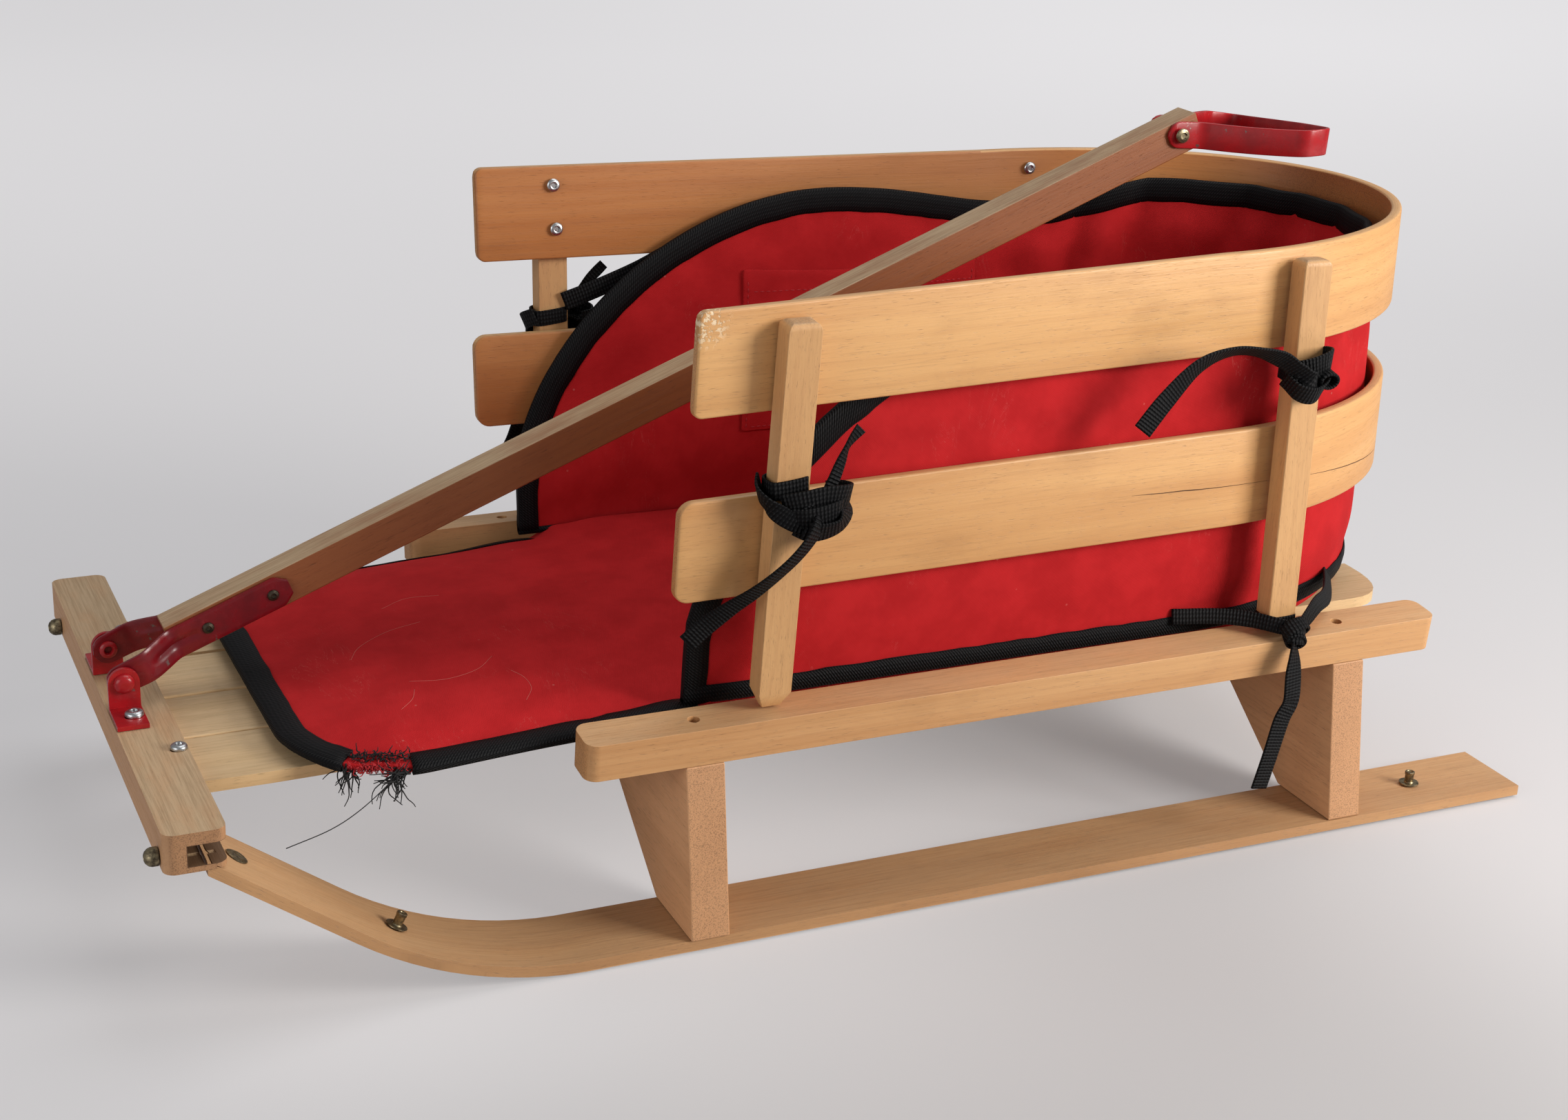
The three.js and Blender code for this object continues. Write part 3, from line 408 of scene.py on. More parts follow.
def wood(name, light, dark, grey_top=0.0, ring_scale=70.0, end_axis="X", chips=(), gloss=0.42, painted_groove_shade=False,
         hoop=False):
    """Light hardwood: growth rings, long fibres, short pores, and tops gone grey with weather."""
    s = Shader(name)
    slow = s.noise(s.grain((2.2, 30, 30)), 1, 4, 0.55)
    fibres = s.noise(s.grain((26, 900, 900)), 1, 4, 0.65)
    pores = s.noise(s.grain((160, 2600, 2600)), 1, 2, 0.5)
    specks = s.fit(pores, 0.62, 0.74)
    shifted = s.node("ShaderNodeVectorMath", {0: s.grain((0.16, 1, 1)), 1: (0, 0.06, 0.05)},
                     operation="ADD").outputs[0]
    wrapped = s.node("ShaderNodeVectorMath", {0: shifted, 1: (0.41, 0.37, 0.29)},
                     operation="MODULO").outputs[0]
    rings = s.node("ShaderNodeTexWave", {
        "Vector": wrapped, "Scale": ring_scale, "Distortion": 5.0, "Detail": 2.0, "Detail Scale": 0.6},
        wave_type="RINGS", rings_direction="X").outputs["Fac"]
    ring_line = s.fit(rings, 0.5, 1.0)
    streak = s.math("ADD", s.math("MULTIPLY", s.fit(slow, 0.35, 0.7), 0.65),
                    s.math("MULTIPLY", ring_line, 0.13), clamp=True)
    color = s.mix(streak, light, dark)
    darker = tuple(value * 0.52 for value in dark)
    color = s.mix(s.math("MULTIPLY", s.fit(fibres, 0.5, 0.8), 0.30), color, darker)
    color = s.mix(s.math("MULTIPLY", specks, 0.45), color, tuple(value * 0.35 for value in dark))
    ends = s.fit(s.math("ABSOLUTE", s.end_facing(end_axis)), 0.75, 0.95)
    freckle = s.fit(s.noise(s.position(), 1500, 3, 0.6), 0.48, 0.62)
    end_color = s.mix(freckle, tuple(value * 0.95 for value in dark), tuple(value * 0.45 for value in dark))
    color = s.mix(s.math("MULTIPLY", ends, 0.75), color, end_color)
    blotch = s.noise(s.grain((14, 22, 22)), 1, 4, 0.6)
    blotched = s.math("MULTIPLY", s.fit(blotch, 0.52, 0.75), 0.22)
    color = s.mix(blotched, color, tuple(value * 0.6 for value in dark))
    if grey_top > 0:
        worn = s.noise(s.grain((18, 60, 60)), 1, 5, 0.65)
        share = s.math("MULTIPLY", s.fit(s.up(), 0.55, 0.9), s.fit(worn, 0.25, 0.62, 0.45, 1.0))
        grey = s.mix(s.fit(fibres, 0.35, 0.7), (0.52, 0.375, 0.225), (0.37, 0.255, 0.145))
        color = s.mix(s.math("MULTIPLY", share, grey_top), color, grey)
    if hoop:
        # Painted shade: faces turned towards the middle of the sleigh are darkened and warmed, where shade
        # falls
        # inside the hoops: level with the sides in front of the bend, and away from the bend's centre behind
        # it.
        spot = s.node("ShaderNodeVectorMath", {0: s.position(), 1: (*place([BEND_X, 0, 0])[:2], 0)},
                      operation="SUBTRACT").outputs[0]
        level = s.node("ShaderNodeVectorMath", {0: spot, 1: (0, 1, 0)}, operation="MULTIPLY").outputs[0]
        round_back = s.math("LESS_THAN", s.node("ShaderNodeSeparateXYZ", {0: spot}).outputs["X"], 0.0)
        out = s.node("ShaderNodeMix", data_type="VECTOR")
        s.put(out.inputs[0], round_back)
        s.put(out.inputs[4], level)
        s.put(out.inputs[5], spot)
        normal = s.node("ShaderNodeTexCoord").outputs["Normal"]
        facing = s.node("ShaderNodeVectorMath", {0: normal, 1: out.outputs[1]}, operation="DOT_PRODUCT")
        inside = s.math("LESS_THAN", facing.outputs["Value"], -0.03)
        inner = s.node("ShaderNodeMix", data_type="RGBA", blend_type="MULTIPLY")
        s.put(inner.inputs[0], inside)
        s.put(inner.inputs[6], color)
        s.put(inner.inputs[7], (0.74, 0.55, 0.44))
        color = inner.outputs[2]
    # Painted shade: a near-black band along the crossbar's groove, between two heights, where shade falls in
    # the recess.
    if painted_groove_shade:
        split = s.node("ShaderNodeSeparateXYZ", {0: s.position()})
        front, _, low = place([455.4, 0, 90.8])
        high = place([0, 0, 102.0])[2]
        inside = s.math("MULTIPLY", s.math("GREATER_THAN", split.outputs["Z"], low),
                        s.math("LESS_THAN", split.outputs["Z"], high))
        inside = s.math("MULTIPLY", inside, s.math("LESS_THAN", split.outputs["X"], front))
        color = s.mix(s.math("MULTIPLY", inside, 0.85), color, (0.10, 0.045, 0.02))
    bumps = s.math("ADD", s.math("MULTIPLY", fibres, 0.6), s.math("MULTIPLY", specks, -0.5))
    rough = s.fit(fibres, 0.3, 0.8, gloss, gloss + 0.22)
    for centre, radius in chips:
        crumbs = s.noise(s.position(), 420, 3, 0.6)
        chip = s.math("MULTIPLY", s.near(centre, radius), s.fit(crumbs, 0.50, 0.58))
        color = s.mix(s.math("MULTIPLY", chip, 0.8), color, (0.85, 0.68, 0.46))
        bumps = s.math("ADD", bumps, s.math("MULTIPLY", chip, -2.0))
    normal = s.bump(bumps, 0.00035, 0.55)
    return s.finish(color=color, rough=rough, normal=normal, specular=0.45)


def cloth(name, light, dark, pitch):
    """A fine woven cloth with a diagonal rib, faint scuffs and lint."""
    s = Shader(name)
    k = 1 / (pitch * MM)
    split = s.node("ShaderNodeSeparateXYZ", {0: s.grain()})
    u, v = split.outputs["X"], split.outputs["Y"]
    warp = s.math("SINE", s.math("MULTIPLY", s.math("ADD", u, v), k * math.pi * 2))
    across = s.math("SUBTRACT", u, s.math("MULTIPLY", v, 0.4))
    weft = s.math("SINE", s.math("MULTIPLY", across, k * math.pi * 3.1))
    weave = s.math("ADD", s.math("MULTIPLY", warp, 0.7), s.math("MULTIPLY", weft, 0.3))
    mottle = s.noise(s.grain(), 38, 4, 0.6)
    fuzz = s.noise(s.grain(), 900, 3, 0.6)
    color = s.mix(s.fit(mottle, 0.3, 0.7), dark, light)
    color = s.mix(s.math("MULTIPLY", s.fit(weave, -0.1, -1.0), 0.5), color, tuple(c * 0.45 for c in dark))
    lint = s.node("ShaderNodeTexVoronoi", {"Vector": s.grain((1, 1, 0)), "Scale": 62.0}).outputs["Distance"]
    thin = s.noise(s.grain(), 55, 2, 0.5)
    mark = s.math("MULTIPLY", s.fit(lint, 0.055, 0.025), s.fit(thin, 0.52, 0.6))
    color = s.mix(s.math("MULTIPLY", mark, 0.3), color, (0.60, 0.28, 0.24))
    wisps = s.noise(s.grain((34, 9, 9)), 1, 5, 0.7, 1.6)
    line = s.math("ABSOLUTE", s.math("SUBTRACT", wisps, 0.5))
    scuff = s.math("MULTIPLY", s.fit(line, 0.0035, 0.0008), s.fit(s.noise(s.grain(), 21, 2), 0.56, 0.66))
    color = s.mix(s.math("MULTIPLY", scuff, 0.22), color, (0.60, 0.20, 0.17))
    normal = s.bump(weave, 0.00012, 0.6, s.bump(fuzz, 0.0002, 0.4, s.bump(mottle, 0.0012, 0.35)))
    return s.finish(color=color, rough=0.8, sheen=0.03, sheen_rough=0.5, tint=(1, 0.3, 0.27, 1),
                    normal=normal, specular=0.07)


def tape(name, color, pitch, slope, depth=0.00025):
    """Ribbed black webbing or binding tape, with painted highlights on its rib crests and fuzz."""
    s = Shader(name)
    k = 2 * math.pi / (pitch * MM)
    split = s.node("ShaderNodeSeparateXYZ", {0: s.grain()})
    u, v = split.outputs["X"], split.outputs["Y"]
    rib = s.math("SINE", s.math("MULTIPLY", s.math("ADD", u, s.math("MULTIPLY", v, slope)), k))
    cross = s.math("SINE", s.math("MULTIPLY", v, k * 0.8))
    weave = s.math("ADD", s.math("MULTIPLY", rib, 0.75), s.math("MULTIPLY", cross, 0.25))
    fuzz = s.noise(s.grain(), 1500, 3, 0.7)
    # Painted highlight: rib crests and specks of fuzz are mixed towards a paler colour, standing in for
    # glints of light.
    pale = tuple(c * 2.2 + 0.018 for c in color)
    shade = s.mix(s.math("MULTIPLY", s.fit(weave, 0.35, 1.0), 0.8), color, pale)
    shade = s.mix(s.math("MULTIPLY", s.fit(fuzz, 0.6, 0.8), 0.4), shade, tuple(c + 0.012 for c in pale))
    normal = s.bump(weave, depth, 0.9, s.bump(fuzz, 0.0002, 0.5))
    return s.finish(color=shade, rough=0.6, normal=normal, specular=0.13)


def enamel(name, light, dark):
    """Dark red enamel over sheet steel, chipped to bare metal in places."""
    s = Shader(name)
    body = s.noise(s.position(), 90, 4, 0.6)
    chip = s.noise(s.position(), 210, 5, 0.68)
    patch = s.noise(s.position(), 46, 2, 0.5)
    worn = s.math("MULTIPLY", s.fit(chip, 0.63, 0.66), s.fit(patch, 0.5, 0.62))
    color = s.mix(s.fit(body, 0.3, 0.7), light, dark)
    scuffed = s.fit(s.noise(s.position(), 330, 3, 0.6), 0.58, 0.78)
    color = s.mix(s.math("MULTIPLY", scuffed, 0.10), color, (0.50, 0.10, 0.10))
    color = s.mix(worn, color, (0.16, 0.13, 0.12))
    rough = s.fit(body, 0.3, 0.7, 0.22, 0.38)
    normal = s.bump(worn, 0.0002, -0.6, s.bump(chip, 0.0002, 0.25))
    bare = s.math("MULTIPLY", worn, 0.7)
    return s.finish(color=color, rough=rough, coat=0.25, coat_rough=0.22, metal=bare, normal=normal,
                    specular=0.3)


def metal(name, bright, dull, rough_low, rough_high):
    """Plated steel with dulled patches and fine scratches."""
    s = Shader(name)
    patches = s.noise(s.position(), 380, 5, 0.65)
    fine = s.noise(s.position(), 2400, 2, 0.5)
    color = s.mix(s.fit(patches, 0.38, 0.66), bright, dull)
    rough = s.fit(patches, 0.3, 0.7, rough_low, rough_high)
    return s.finish(color=color, metal=1.0, rough=rough, normal=s.bump(fine, 0.00006, 0.5))


def plain(name, color, rough):
    """A surface of one colour, faintly speckled."""
    s = Shader(name)
    speck = s.noise(s.position(), 700, 3, 0.6)
    shade = s.mix(speck, tuple(c * 0.8 for c in color), tuple(min(1, c * 1.2) for c in color))
    return s.finish(color=shade, rough=rough, normal=s.bump(speck, 0.0001, 0.4))


chip_at = place(rim(np.array([0.012]), 331.0, 0.0, 205.0)[0])
HONEY = wood("honey_wood", (0.66, 0.365, 0.16), (0.50, 0.235, 0.088), 0.45)
# The hoops' wood paints shade on their inner faces.
HOOP_WOOD = wood("hoop_wood", (0.69, 0.38, 0.15), (0.52, 0.24, 0.082), 0.35, 55.0,
                 chips=[(chip_at, 0.016)], gloss=0.36, hoop=True)
RUNNER_WOOD = wood("runner_wood", (0.55, 0.30, 0.135), (0.38, 0.185, 0.078), 0.3, 62.0)
BOLSTER_WOOD = wood("bolster_wood", (0.74, 0.40, 0.20), (0.54, 0.27, 0.125), 0.2, 90.0, "Y")
BAR_WOOD = wood("bar_wood", (0.28, 0.092, 0.030), (0.195, 0.057, 0.018), 0.9, 66.0)
DECK_WOOD = wood("deck_wood", (0.78, 0.55, 0.30), (0.62, 0.41, 0.20), 0.5, 60.0)
# The crossbar's wood carries painted shade in its groove.
CROSSBAR_WOOD = wood("crossbar_wood", (0.54, 0.29, 0.14), (0.40, 0.20, 0.092), 0.9, 75.0, "Y", painted_groove_shade=True)
POST_WOOD = wood("post_wood", (0.62, 0.345, 0.145), (0.46, 0.225, 0.088), 0.45, 60.0, "Z")
RED = cloth("red_cloth", (0.54, 0.019, 0.0220), (0.44, 0.0135, 0.0160), 0.9)
THREAD_RED = plain("red_thread", (0.42, 0.014, 0.02), 0.8)
BINDING = tape("binding_tape", (0.0028, 0.0028, 0.0034), 1.7, 0.8)
WEBBING = tape("webbing", (0.0028, 0.0028, 0.0034), 1.9, 0.0, 0.0004)
BLACK_THREAD = plain("black_thread", (0.006, 0.006, 0.007), 0.8)
LINT = plain("lint", (0.55, 0.16, 0.13), 0.8)
PAINT = enamel("red_enamel", (0.40, 0.010, 0.014), (0.28, 0.007, 0.010))
# A darker copy of the red enamel, as painted shade on the tow straps, which lie on the bar's shaded side.
STRAP_PAINT_SHADED = enamel("strap_enamel_painted_shade", (0.20, 0.005, 0.010), (0.13, 0.003, 0.007))
ZINC = metal("zinc_plate", (0.62, 0.64, 0.66), (0.34, 0.35, 0.36), 0.22, 0.42)
BRASS = metal("dull_brass", (0.34, 0.28, 0.17), (0.10, 0.08, 0.055), 0.32, 0.55)
DARK_BRASS = metal("dark_brass", (0.10, 0.082, 0.06), (0.05, 0.04, 0.03), 0.35, 0.6)
STEEL_SHOE = metal("shoe_steel", (0.45, 0.45, 0.46), (0.22, 0.20, 0.18), 0.3, 0.55)
# The near-black for the hoop's splits is painted shadow inside them.
CRACK_SHADE = plain("crack_shadow", (0.10, 0.045, 0.018), 0.9)

# ---------------------------------------------------------------- CAD pieces that stay


def sleigh_points(obj):
    """A CAD piece's own points, in sleigh-frame millimetres."""
    points = np.zeros(len(obj.data.vertices) * 3)
    obj.data.vertices.foreach_get("co", points)
    return points.reshape(-1, 3) / MM + [MIDDLE_X, 0, -LIFT]


def eased(obj, width):
    """Rounds a CAD piece's edges with modifiers, which leave its own mesh alone."""
    if "custom_normal" in obj.data.attributes:
        obj.data.attributes.remove(obj.data.attributes["custom_normal"])
    obj.data.polygons.foreach_set("use_smooth", [True] * len(obj.data.polygons))
    weld = obj.modifiers.new("weld", "WELD")
    weld.merge_threshold = 2e-5
    flat = obj.modifiers.new("flat", "DECIMATE")
    flat.decimate_type = "DISSOLVE"
    flat.angle_limit = math.radians(0.6)
    bevel = obj.modifiers.new("bevel", "BEVEL")
    bevel.width = width * MM
    bevel.segments = 3
    bevel.limit_method = "ANGLE"
    bevel.angle_limit = math.radians(30)
    bevel.use_clamp_overlap = True
    weighted = obj.modifiers.new("weighted", "WEIGHTED_NORMAL")
    weighted.keep_sharp = True


def dress(name, material, width, coordinates):
    """Gives a CAD node its material, grain coordinates and eased edges."""
    obj = nodes[name]
    set_grain(obj.data, coordinates(sleigh_points(obj)), name)
    obj.data.materials.clear()
    obj.data.materials.append(material)
    eased(obj, width)


def along_x(p):
    """Grain coordinates of a piece that lies along the sleigh."""
    return p


def along_y(p):
    """Grain coordinates of a piece that lies across the sleigh."""
    return p[:, [1, 0, 2]]


def along_z(p):
    """Grain coordinates of a piece that stands up."""
    return p[:, [2, 0, 1]]


def along_runner(p):
    """Grain coordinates that follow a runner round its bend."""
    bend_x, radius, most = 262.0, 200.0, math.radians(35)
    angle = np.clip(np.arctan2(p[:, 0] - bend_x, radius - p[:, 2]), 0, most)
    radial_x = p[:, 0] - bend_x
    radial_z = radius - p[:, 2]
    depth = radius - (radial_x * np.sin(angle) + radial_z * np.cos(angle))
    beyond = radial_x * np.cos(angle) - radial_z * np.sin(angle)
    run = np.where(angle > 0, bend_x + radius * angle + np.where(angle >= most, beyond, 0), p[:, 0])
    return np.stack([run, p[:, 1], depth], -1)


def along_bar(p):
    """Grain coordinates along the tow bar."""
    dx, dz = p[:, 0] - pivot[0], p[:, 2] - pivot[2]
    c, s = math.cos(BAR_ANGLE), math.sin(BAR_ANGLE)
    return np.stack([dx * c - dz * s, p[:, 1], dx * s + dz * c], -1)


for side in ("left", "right"):
    dress(f"runner_{side}", RUNNER_WOOD, 1.3, along_runner)
    dress(f"runner_shoe_{side}", STEEL_SHOE, 0.3, along_x)
    dress(f"side_rail_{side}", HONEY, 1.8, along_x)
    dress(f"hinge_bracket_{side}", PAINT, 0.7, along_z)
    for where in ("front", "rear"):
        dress(f"upright_{where}_{side}", POST_WOOD, 1.4, along_z)
for name in ("front_bolster", "rear_bolster"):
    dress(name, BOLSTER_WOOD, 0.7, along_y)
for i in range(1, 5):
    dress(f"deck_slat_{i}", DECK_WOOD, 1.1, along_x)
dress("crossbar", CROSSBAR_WOOD, 2.0, along_y)
dress("tow_bar", BAR_WOOD, 1.2, along_bar)

# ---------------------------------------------------------------- fasteners


def turned(name, profile, material, direction):
    """A turned fastener in place of a CAD node. Profile is (radius, depth below the head's top)."""
    axis = np.array(direction, float)
    axis /= np.linalg.norm(axis)
    local = sleigh_points(nodes[name])
    tip = local[np.argmax(local @ axis)]
    first = np.cross(axis, [0.0, 0.0, 1.0] if abs(axis[2]) < 0.8 else [1.0, 0.0, 0.0])
    first /= np.linalg.norm(first)
    second = np.cross(axis, first)
    rows = [circle(tip - axis * depth, first, second, radius, 32) for radius, depth in profile]
    made = sweep(f"{name}_detail", rows, "sleigh", material, rows)
    sharpen(made, 40)
    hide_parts(name)


def pan_head(radius, height, shank, length, recess):
    """A pan head with a round drive recess."""
    points = [(0.4, recess), (radius * 0.36, recess), (radius * 0.42, 0.12), (radius * 0.50, 0.0)]
    for i in range(1, 7):
        angle = math.pi / 2 * i / 6
        points.append((radius * (0.5 + 0.5 * math.sin(angle)), height * 0.75 * (1 - math.cos(angle))))
    return points + [(radius, height), (shank, height), (shank, length)]


lean_of = {where: post["lean"] for where, post in POSTS.items()}
for side, sign in (("left", 1), ("right", -1)):
    turned(f"crossbar_screw_{side}", pan_head(4.3, 2.4, 1.9, 19, 1.3), ZINC, (0, 0, 1))
    turned(f"bracket_screw_{side}", pan_head(4.8, 2.6, 2.0, 14, 1.4), ZINC, (0, 0, 1))
    bolt = [(0.5, 0.5), (1.5, 0.35), (1.8, 0.0), (2.9, 0.5), (4.2, 1.9), (4.7, 3.4), (4.7, 6.4), (2.4, 6.8),
            (2.4, 16)]
    turned(f"crossbar_bolt_{side}", bolt, BRASS, (1, 0, 0))
    for screw, post in (("upper_hoop_screw_front_high", "front"), ("upper_hoop_screw_front_low", "front"),
                        ("upper_hoop_screw_rear", "rear"), ("lower_hoop_screw_front", "front")):
        direction = (0, -sign * math.cos(lean_of[post]), math.sin(lean_of[post]))
        turned(f"{screw}_{side}", pan_head(4.0, 1.5, 1.7, 16, 0.8), ZINC, direction)
    stud = [(0.5, 0.7), (1.5, 0.6), (1.8, 0.15), (2.4, 0.0), (2.8, 0.3), (2.85, 1.5), (2.6, 2.0),
            (2.55, 6.2), (3.0, 6.7), (4.6, 6.6), (5.7, 6.9), (5.8, 7.3), (5.0, 7.9), (2.4, 8.1), (2.4, 14)]
    up = np.array([-math.sin(math.radians(26.7)), 0, math.cos(math.radians(26.7))])
    turned(f"runner_stud_front_{side}", stud, BRASS, up)
    turned(f"runner_stud_rear_{side}", stud, BRASS, (0, 0, 1))
    tip_up = (-math.sin(math.radians(35)), 0, math.cos(math.radians(35)))
    flat = [(0.4, 0.5), (2.0, 0.4), (2.4, 0.15), (4.4, 0.3), (5.9, 0.9), (6.0, 1.3), (2.4, 1.4), (2.4, 6)]
    turned(f"runner_tip_rivet_{side}", flat, BRASS, tip_up)
    domed = [(0.6, 0.1), (1.7, 0.0), (3.4, 0.3), (4.6, 1.1), (5.2, 2.3), (5.3, 3.5), (3.0, 3.7), (3.0, 9.4),
             (4.7, 9.5), (4.6, 11.2), (3.6, 12.2), (2.6, 12.3), (2.1, 11.6), (1.9, 9.8), (0.5, 9.7)]
    turned(f"pivot_rivet_{side}", domed, PAINT, (0, sign, 0))


def through_pin(name, centre, reach, head_radius, head_height, shank, material):
    """A pin through the tow bar with a hollow riveted head at each end."""
    head = [(0.4, 0.9), (head_radius * 0.38, 0.8), (head_radius * 0.5, 0.0),
            (head_radius * 0.9, head_height * 0.4), (head_radius, head_height), (shank, head_height)]
    profile = [(radius, reach + head_height - depth) for radius, depth in head]
    profile += [(radius, -y) for radius, y in profile[::-1]]
    rows = [circle(np.array([centre[0], y, centre[2]]), (1, 0, 0), (0, 0, 1), radius, 28)
            for radius, y in profile]
    made = sweep(f"{name}_detail", rows, "tow_bar", material, rows)
    sharpen(made, 40)
    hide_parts(name)


for name in ("strap_rivet_front", "strap_rivet_rear"):
    low, high = box(name)
    centre = (low + high) / 2 + [MIDDLE_X, 0, -LIFT]
    through_pin(name, centre, 12.3, 3.1, 1.2, 2.0, DARK_BRASS)
through_pin("grip_pin", grip_pivot, 14.0, 4.4, 1.4, 2.6, BRASS)

# ---------------------------------------------------------------- hoops


def hoop(name, bottom, height, front, corner):
    """A bentwood hoop with rounded ends, its grain following the bend."""
    skew = 0.0209 * 165
    stops = corner * np.array([0, 0.05, 0.16, 0.33, 0.55, 0.78, 1.0])
    rows, grain = [], []
    run = 0.0
    last = None

    def column(q, end_distance, end_front):
        nonlocal run, last
        reach = min(end_distance, corner)
        trim = corner - math.sqrt(corner ** 2 - (corner - reach) ** 2)
        thin = 0.9 if end_distance < 0.4 else 0.0
        section = rounded_section(height / 2 - trim, HOOP_THICKNESS / 2 - thin, 1.3 if not thin else 1.0)
        middle = bottom + height / 2
        centre = rim(q, middle, HOOP_THICKNESS / 2, end_front)
        if last is not None:
            run += float(np.linalg.norm(centre - last))
        last = centre
        rows.append([rim(q, middle + a, HOOP_THICKNESS / 2 + b, end_front) for a, b in section])
        grain.append([(run, a, b) for a, b in section])

    left, right = front - skew, front + skew
    for distance in stops:
        column(distance / (left - BEND_X), distance, left)
    for q in np.linspace(0.08, 1, 12):
        column(q, corner, left)
    for q in np.linspace(1, 2, 65)[1:]:
        column(q, corner, left if q < 1.5 else right)
    for q in np.linspace(2, 2.92, 12)[1:]:
        column(q, corner, right)
    for distance in stops[::-1]:
        column(3 - distance / (right - BEND_X), distance, right)
    made = sweep(f"{name}_bent", rows, "sleigh", HOOP_WOOD, grain)
    sharpen(made, 50)
    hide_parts(name)


for name in ("lower_hoop", "upper_hoop"):
    low, high = box(name)
    front, corner = {"lower_hoop": (212.0, 8.0), "upper_hoop": (208.0, 5.0)}[name]
    hoop(name, low[2] - LIFT, high[2] - low[2], front, corner)


def crack(name, start, end, width, wobble=0.25):
    """A hairline split in the lower hoop: a thin dark sliver between two (q, height) places, painting the
    shadow inside the split.
    """
    draw = random.Random(seed_of(name))
    count = 22
    rows = []
    for i in range(count):
        t = i / (count - 1)
        q = start[0] + (end[0] - start[0]) * t
        z = start[1] + (end[1] - start[1]) * t + draw.uniform(-wobble, wobble) * math.sin(math.pi * t)
        half = width / 2 * math.sin(math.pi * (i + 0.35) / (count - 0.3)) + 0.04
        rows.append([rim(q, z + across, inset, 212.0) for across, inset in (
            (half, 0.35), (half * 0.6, -0.06), (-half * 0.6, -0.06), (-half, 0.35))])
    sweep(name, rows, "sleigh", CRACK_SHADE, rows)


crack("hoop_split_1", (0.838, 208.5), (1.065, 206.0), 0.8)
crack("hoop_split_2", (1.118, 203.5), (1.30, 194.0), 0.8, 0.1)

# ---------------------------------------------------------------- liner wall


def bezier(p0, p1, p2, p3, count):
    """A cubic curve from p0 to p3, drawn towards p1 and p2."""
    t = np.linspace(0, 1, count)[:, None]
    p0, p1, p2, p3 = (np.array(p, float) for p in (p0, p1, p2, p3))
    return (1 - t) ** 3 * p0 + 3 * (1 - t) ** 2 * t * p1 + 3 * (1 - t) * t ** 2 * p2 + t ** 3 * p3


SHOULDER = (-5, LINER_TOP - 3)
DIP = (-135, LINER_TOP - 17)
FRONT_EDGE = bezier((LINER_FRONT, 146), (LINER_FRONT - 2, 222), (100, LINER_TOP - 3), SHOULDER, 25)
TOP_DIP = bezier(SHOULDER, (-60, LINER_TOP - 3), (-85, LINER_TOP - 16), DIP, 12)
TOP_RISE = bezier(DIP, (-175, LINER_TOP - 18), (-195, LINER_TOP), (-235, LINER_TOP), 12)
WALL_MID = HOOP_THICKNESS + LINER_CLEARANCE + LINER_THICKNESS / 2
REFERENCE_Z = 225.0

fine_q = np.linspace(0, 3, 1801)
fine_line = rim(fine_q, REFERENCE_Z, WALL_MID, LINER_FRONT)
fine_run = run_of(fine_line)
WALL_RUN = fine_run[-1]


def wall_q(run):
    """The rim's own measure at a distance along the liner's wall."""
    return np.interp(run, fine_run, fine_q)


def top_height(x):
    """The height of the wall's upper edge at a place along the sleigh."""
    edge = np.vstack([FRONT_EDGE, TOP_DIP, TOP_RISE, [[-400, LINER_TOP]]])[::-1]
    return np.interp(x, edge[:, 0], edge[:, 1])


def wall_at(run, z, offset=0.0):
    """A point of the liner wall: offset is towards the outside from its middle surface."""
    return rim(wall_q(run), z, WALL_MID - np.asarray(offset, float), LINER_FRONT)


left_half = slice(len(fine_line) // 2 - 1, None, -1)
left_run = np.interp(FRONT_EDGE[:, 0], fine_line[left_half, 0], fine_run[left_half])
edge_stops = np.concatenate([[0], left_run[1:]])
middle_stops = np.linspace(left_run[-1], WALL_RUN - left_run[-1], 112)[1:-1]
columns = np.concatenate([edge_stops, middle_stops, WALL_RUN - edge_stops[::-1]])
columns_x = rim(wall_q(columns), REFERENCE_Z, WALL_MID, LINER_FRONT)[:, 0]
columns_top = top_height(columns_x)
columns_top[[0, -1]] = FRONT_EDGE[0, 1]
UPPER_EDGE = np.stack([columns, columns_top], -1)


def edge_distance(run, z):
    """How far a place on the wall lies from its nearest edge."""
    points = np.stack([run, z], -1)
    dense = []
    for a, b in zip(UPPER_EDGE[:-1], UPPER_EDGE[1:]):
        dense += [a + (b - a) * t for t in (0, 0.34, 0.67)]
    dense += [(0, z0) for z0 in np.arange(LINER_BOTTOM, 146, 3)]
    dense += [(WALL_RUN, z0) for z0 in np.arange(LINER_BOTTOM, 146, 3)]
    dense = np.array(dense)
    away = np.linalg.norm(points[:, None] - dense[None], axis=2).min(1)
    return np.minimum(away, z - LINER_BOTTOM)


FOLDS = (  # where along the back from its middle, half width, depth, slant
    (-162, 25, 7, 0.10), (-112, 25, 8, 0.20), (-64, 23, 7, 0.10), (-20, 21, 8, -0.10), (22, 21, 7, -0.25),
    (60, 18, 8, -0.35), (112, 33, 9, -0.30), (163, 18, 12, -0.22), (201, 20, 9, -0.15),
)


def fold_depth(run, z):
    """Upright folds where the wall is bent round the back, with creases between them."""
    centre = WALL_RUN / 2
    depth = np.zeros_like(run)
    for where, width, size, slant in FOLDS:
        away = np.clip((run - centre - where - slant * (z - 290)) / width, -1, 1)
        depth += size * np.cos(away * np.pi / 2) ** 0.85
    return depth * smooth((z - 170) / 120)


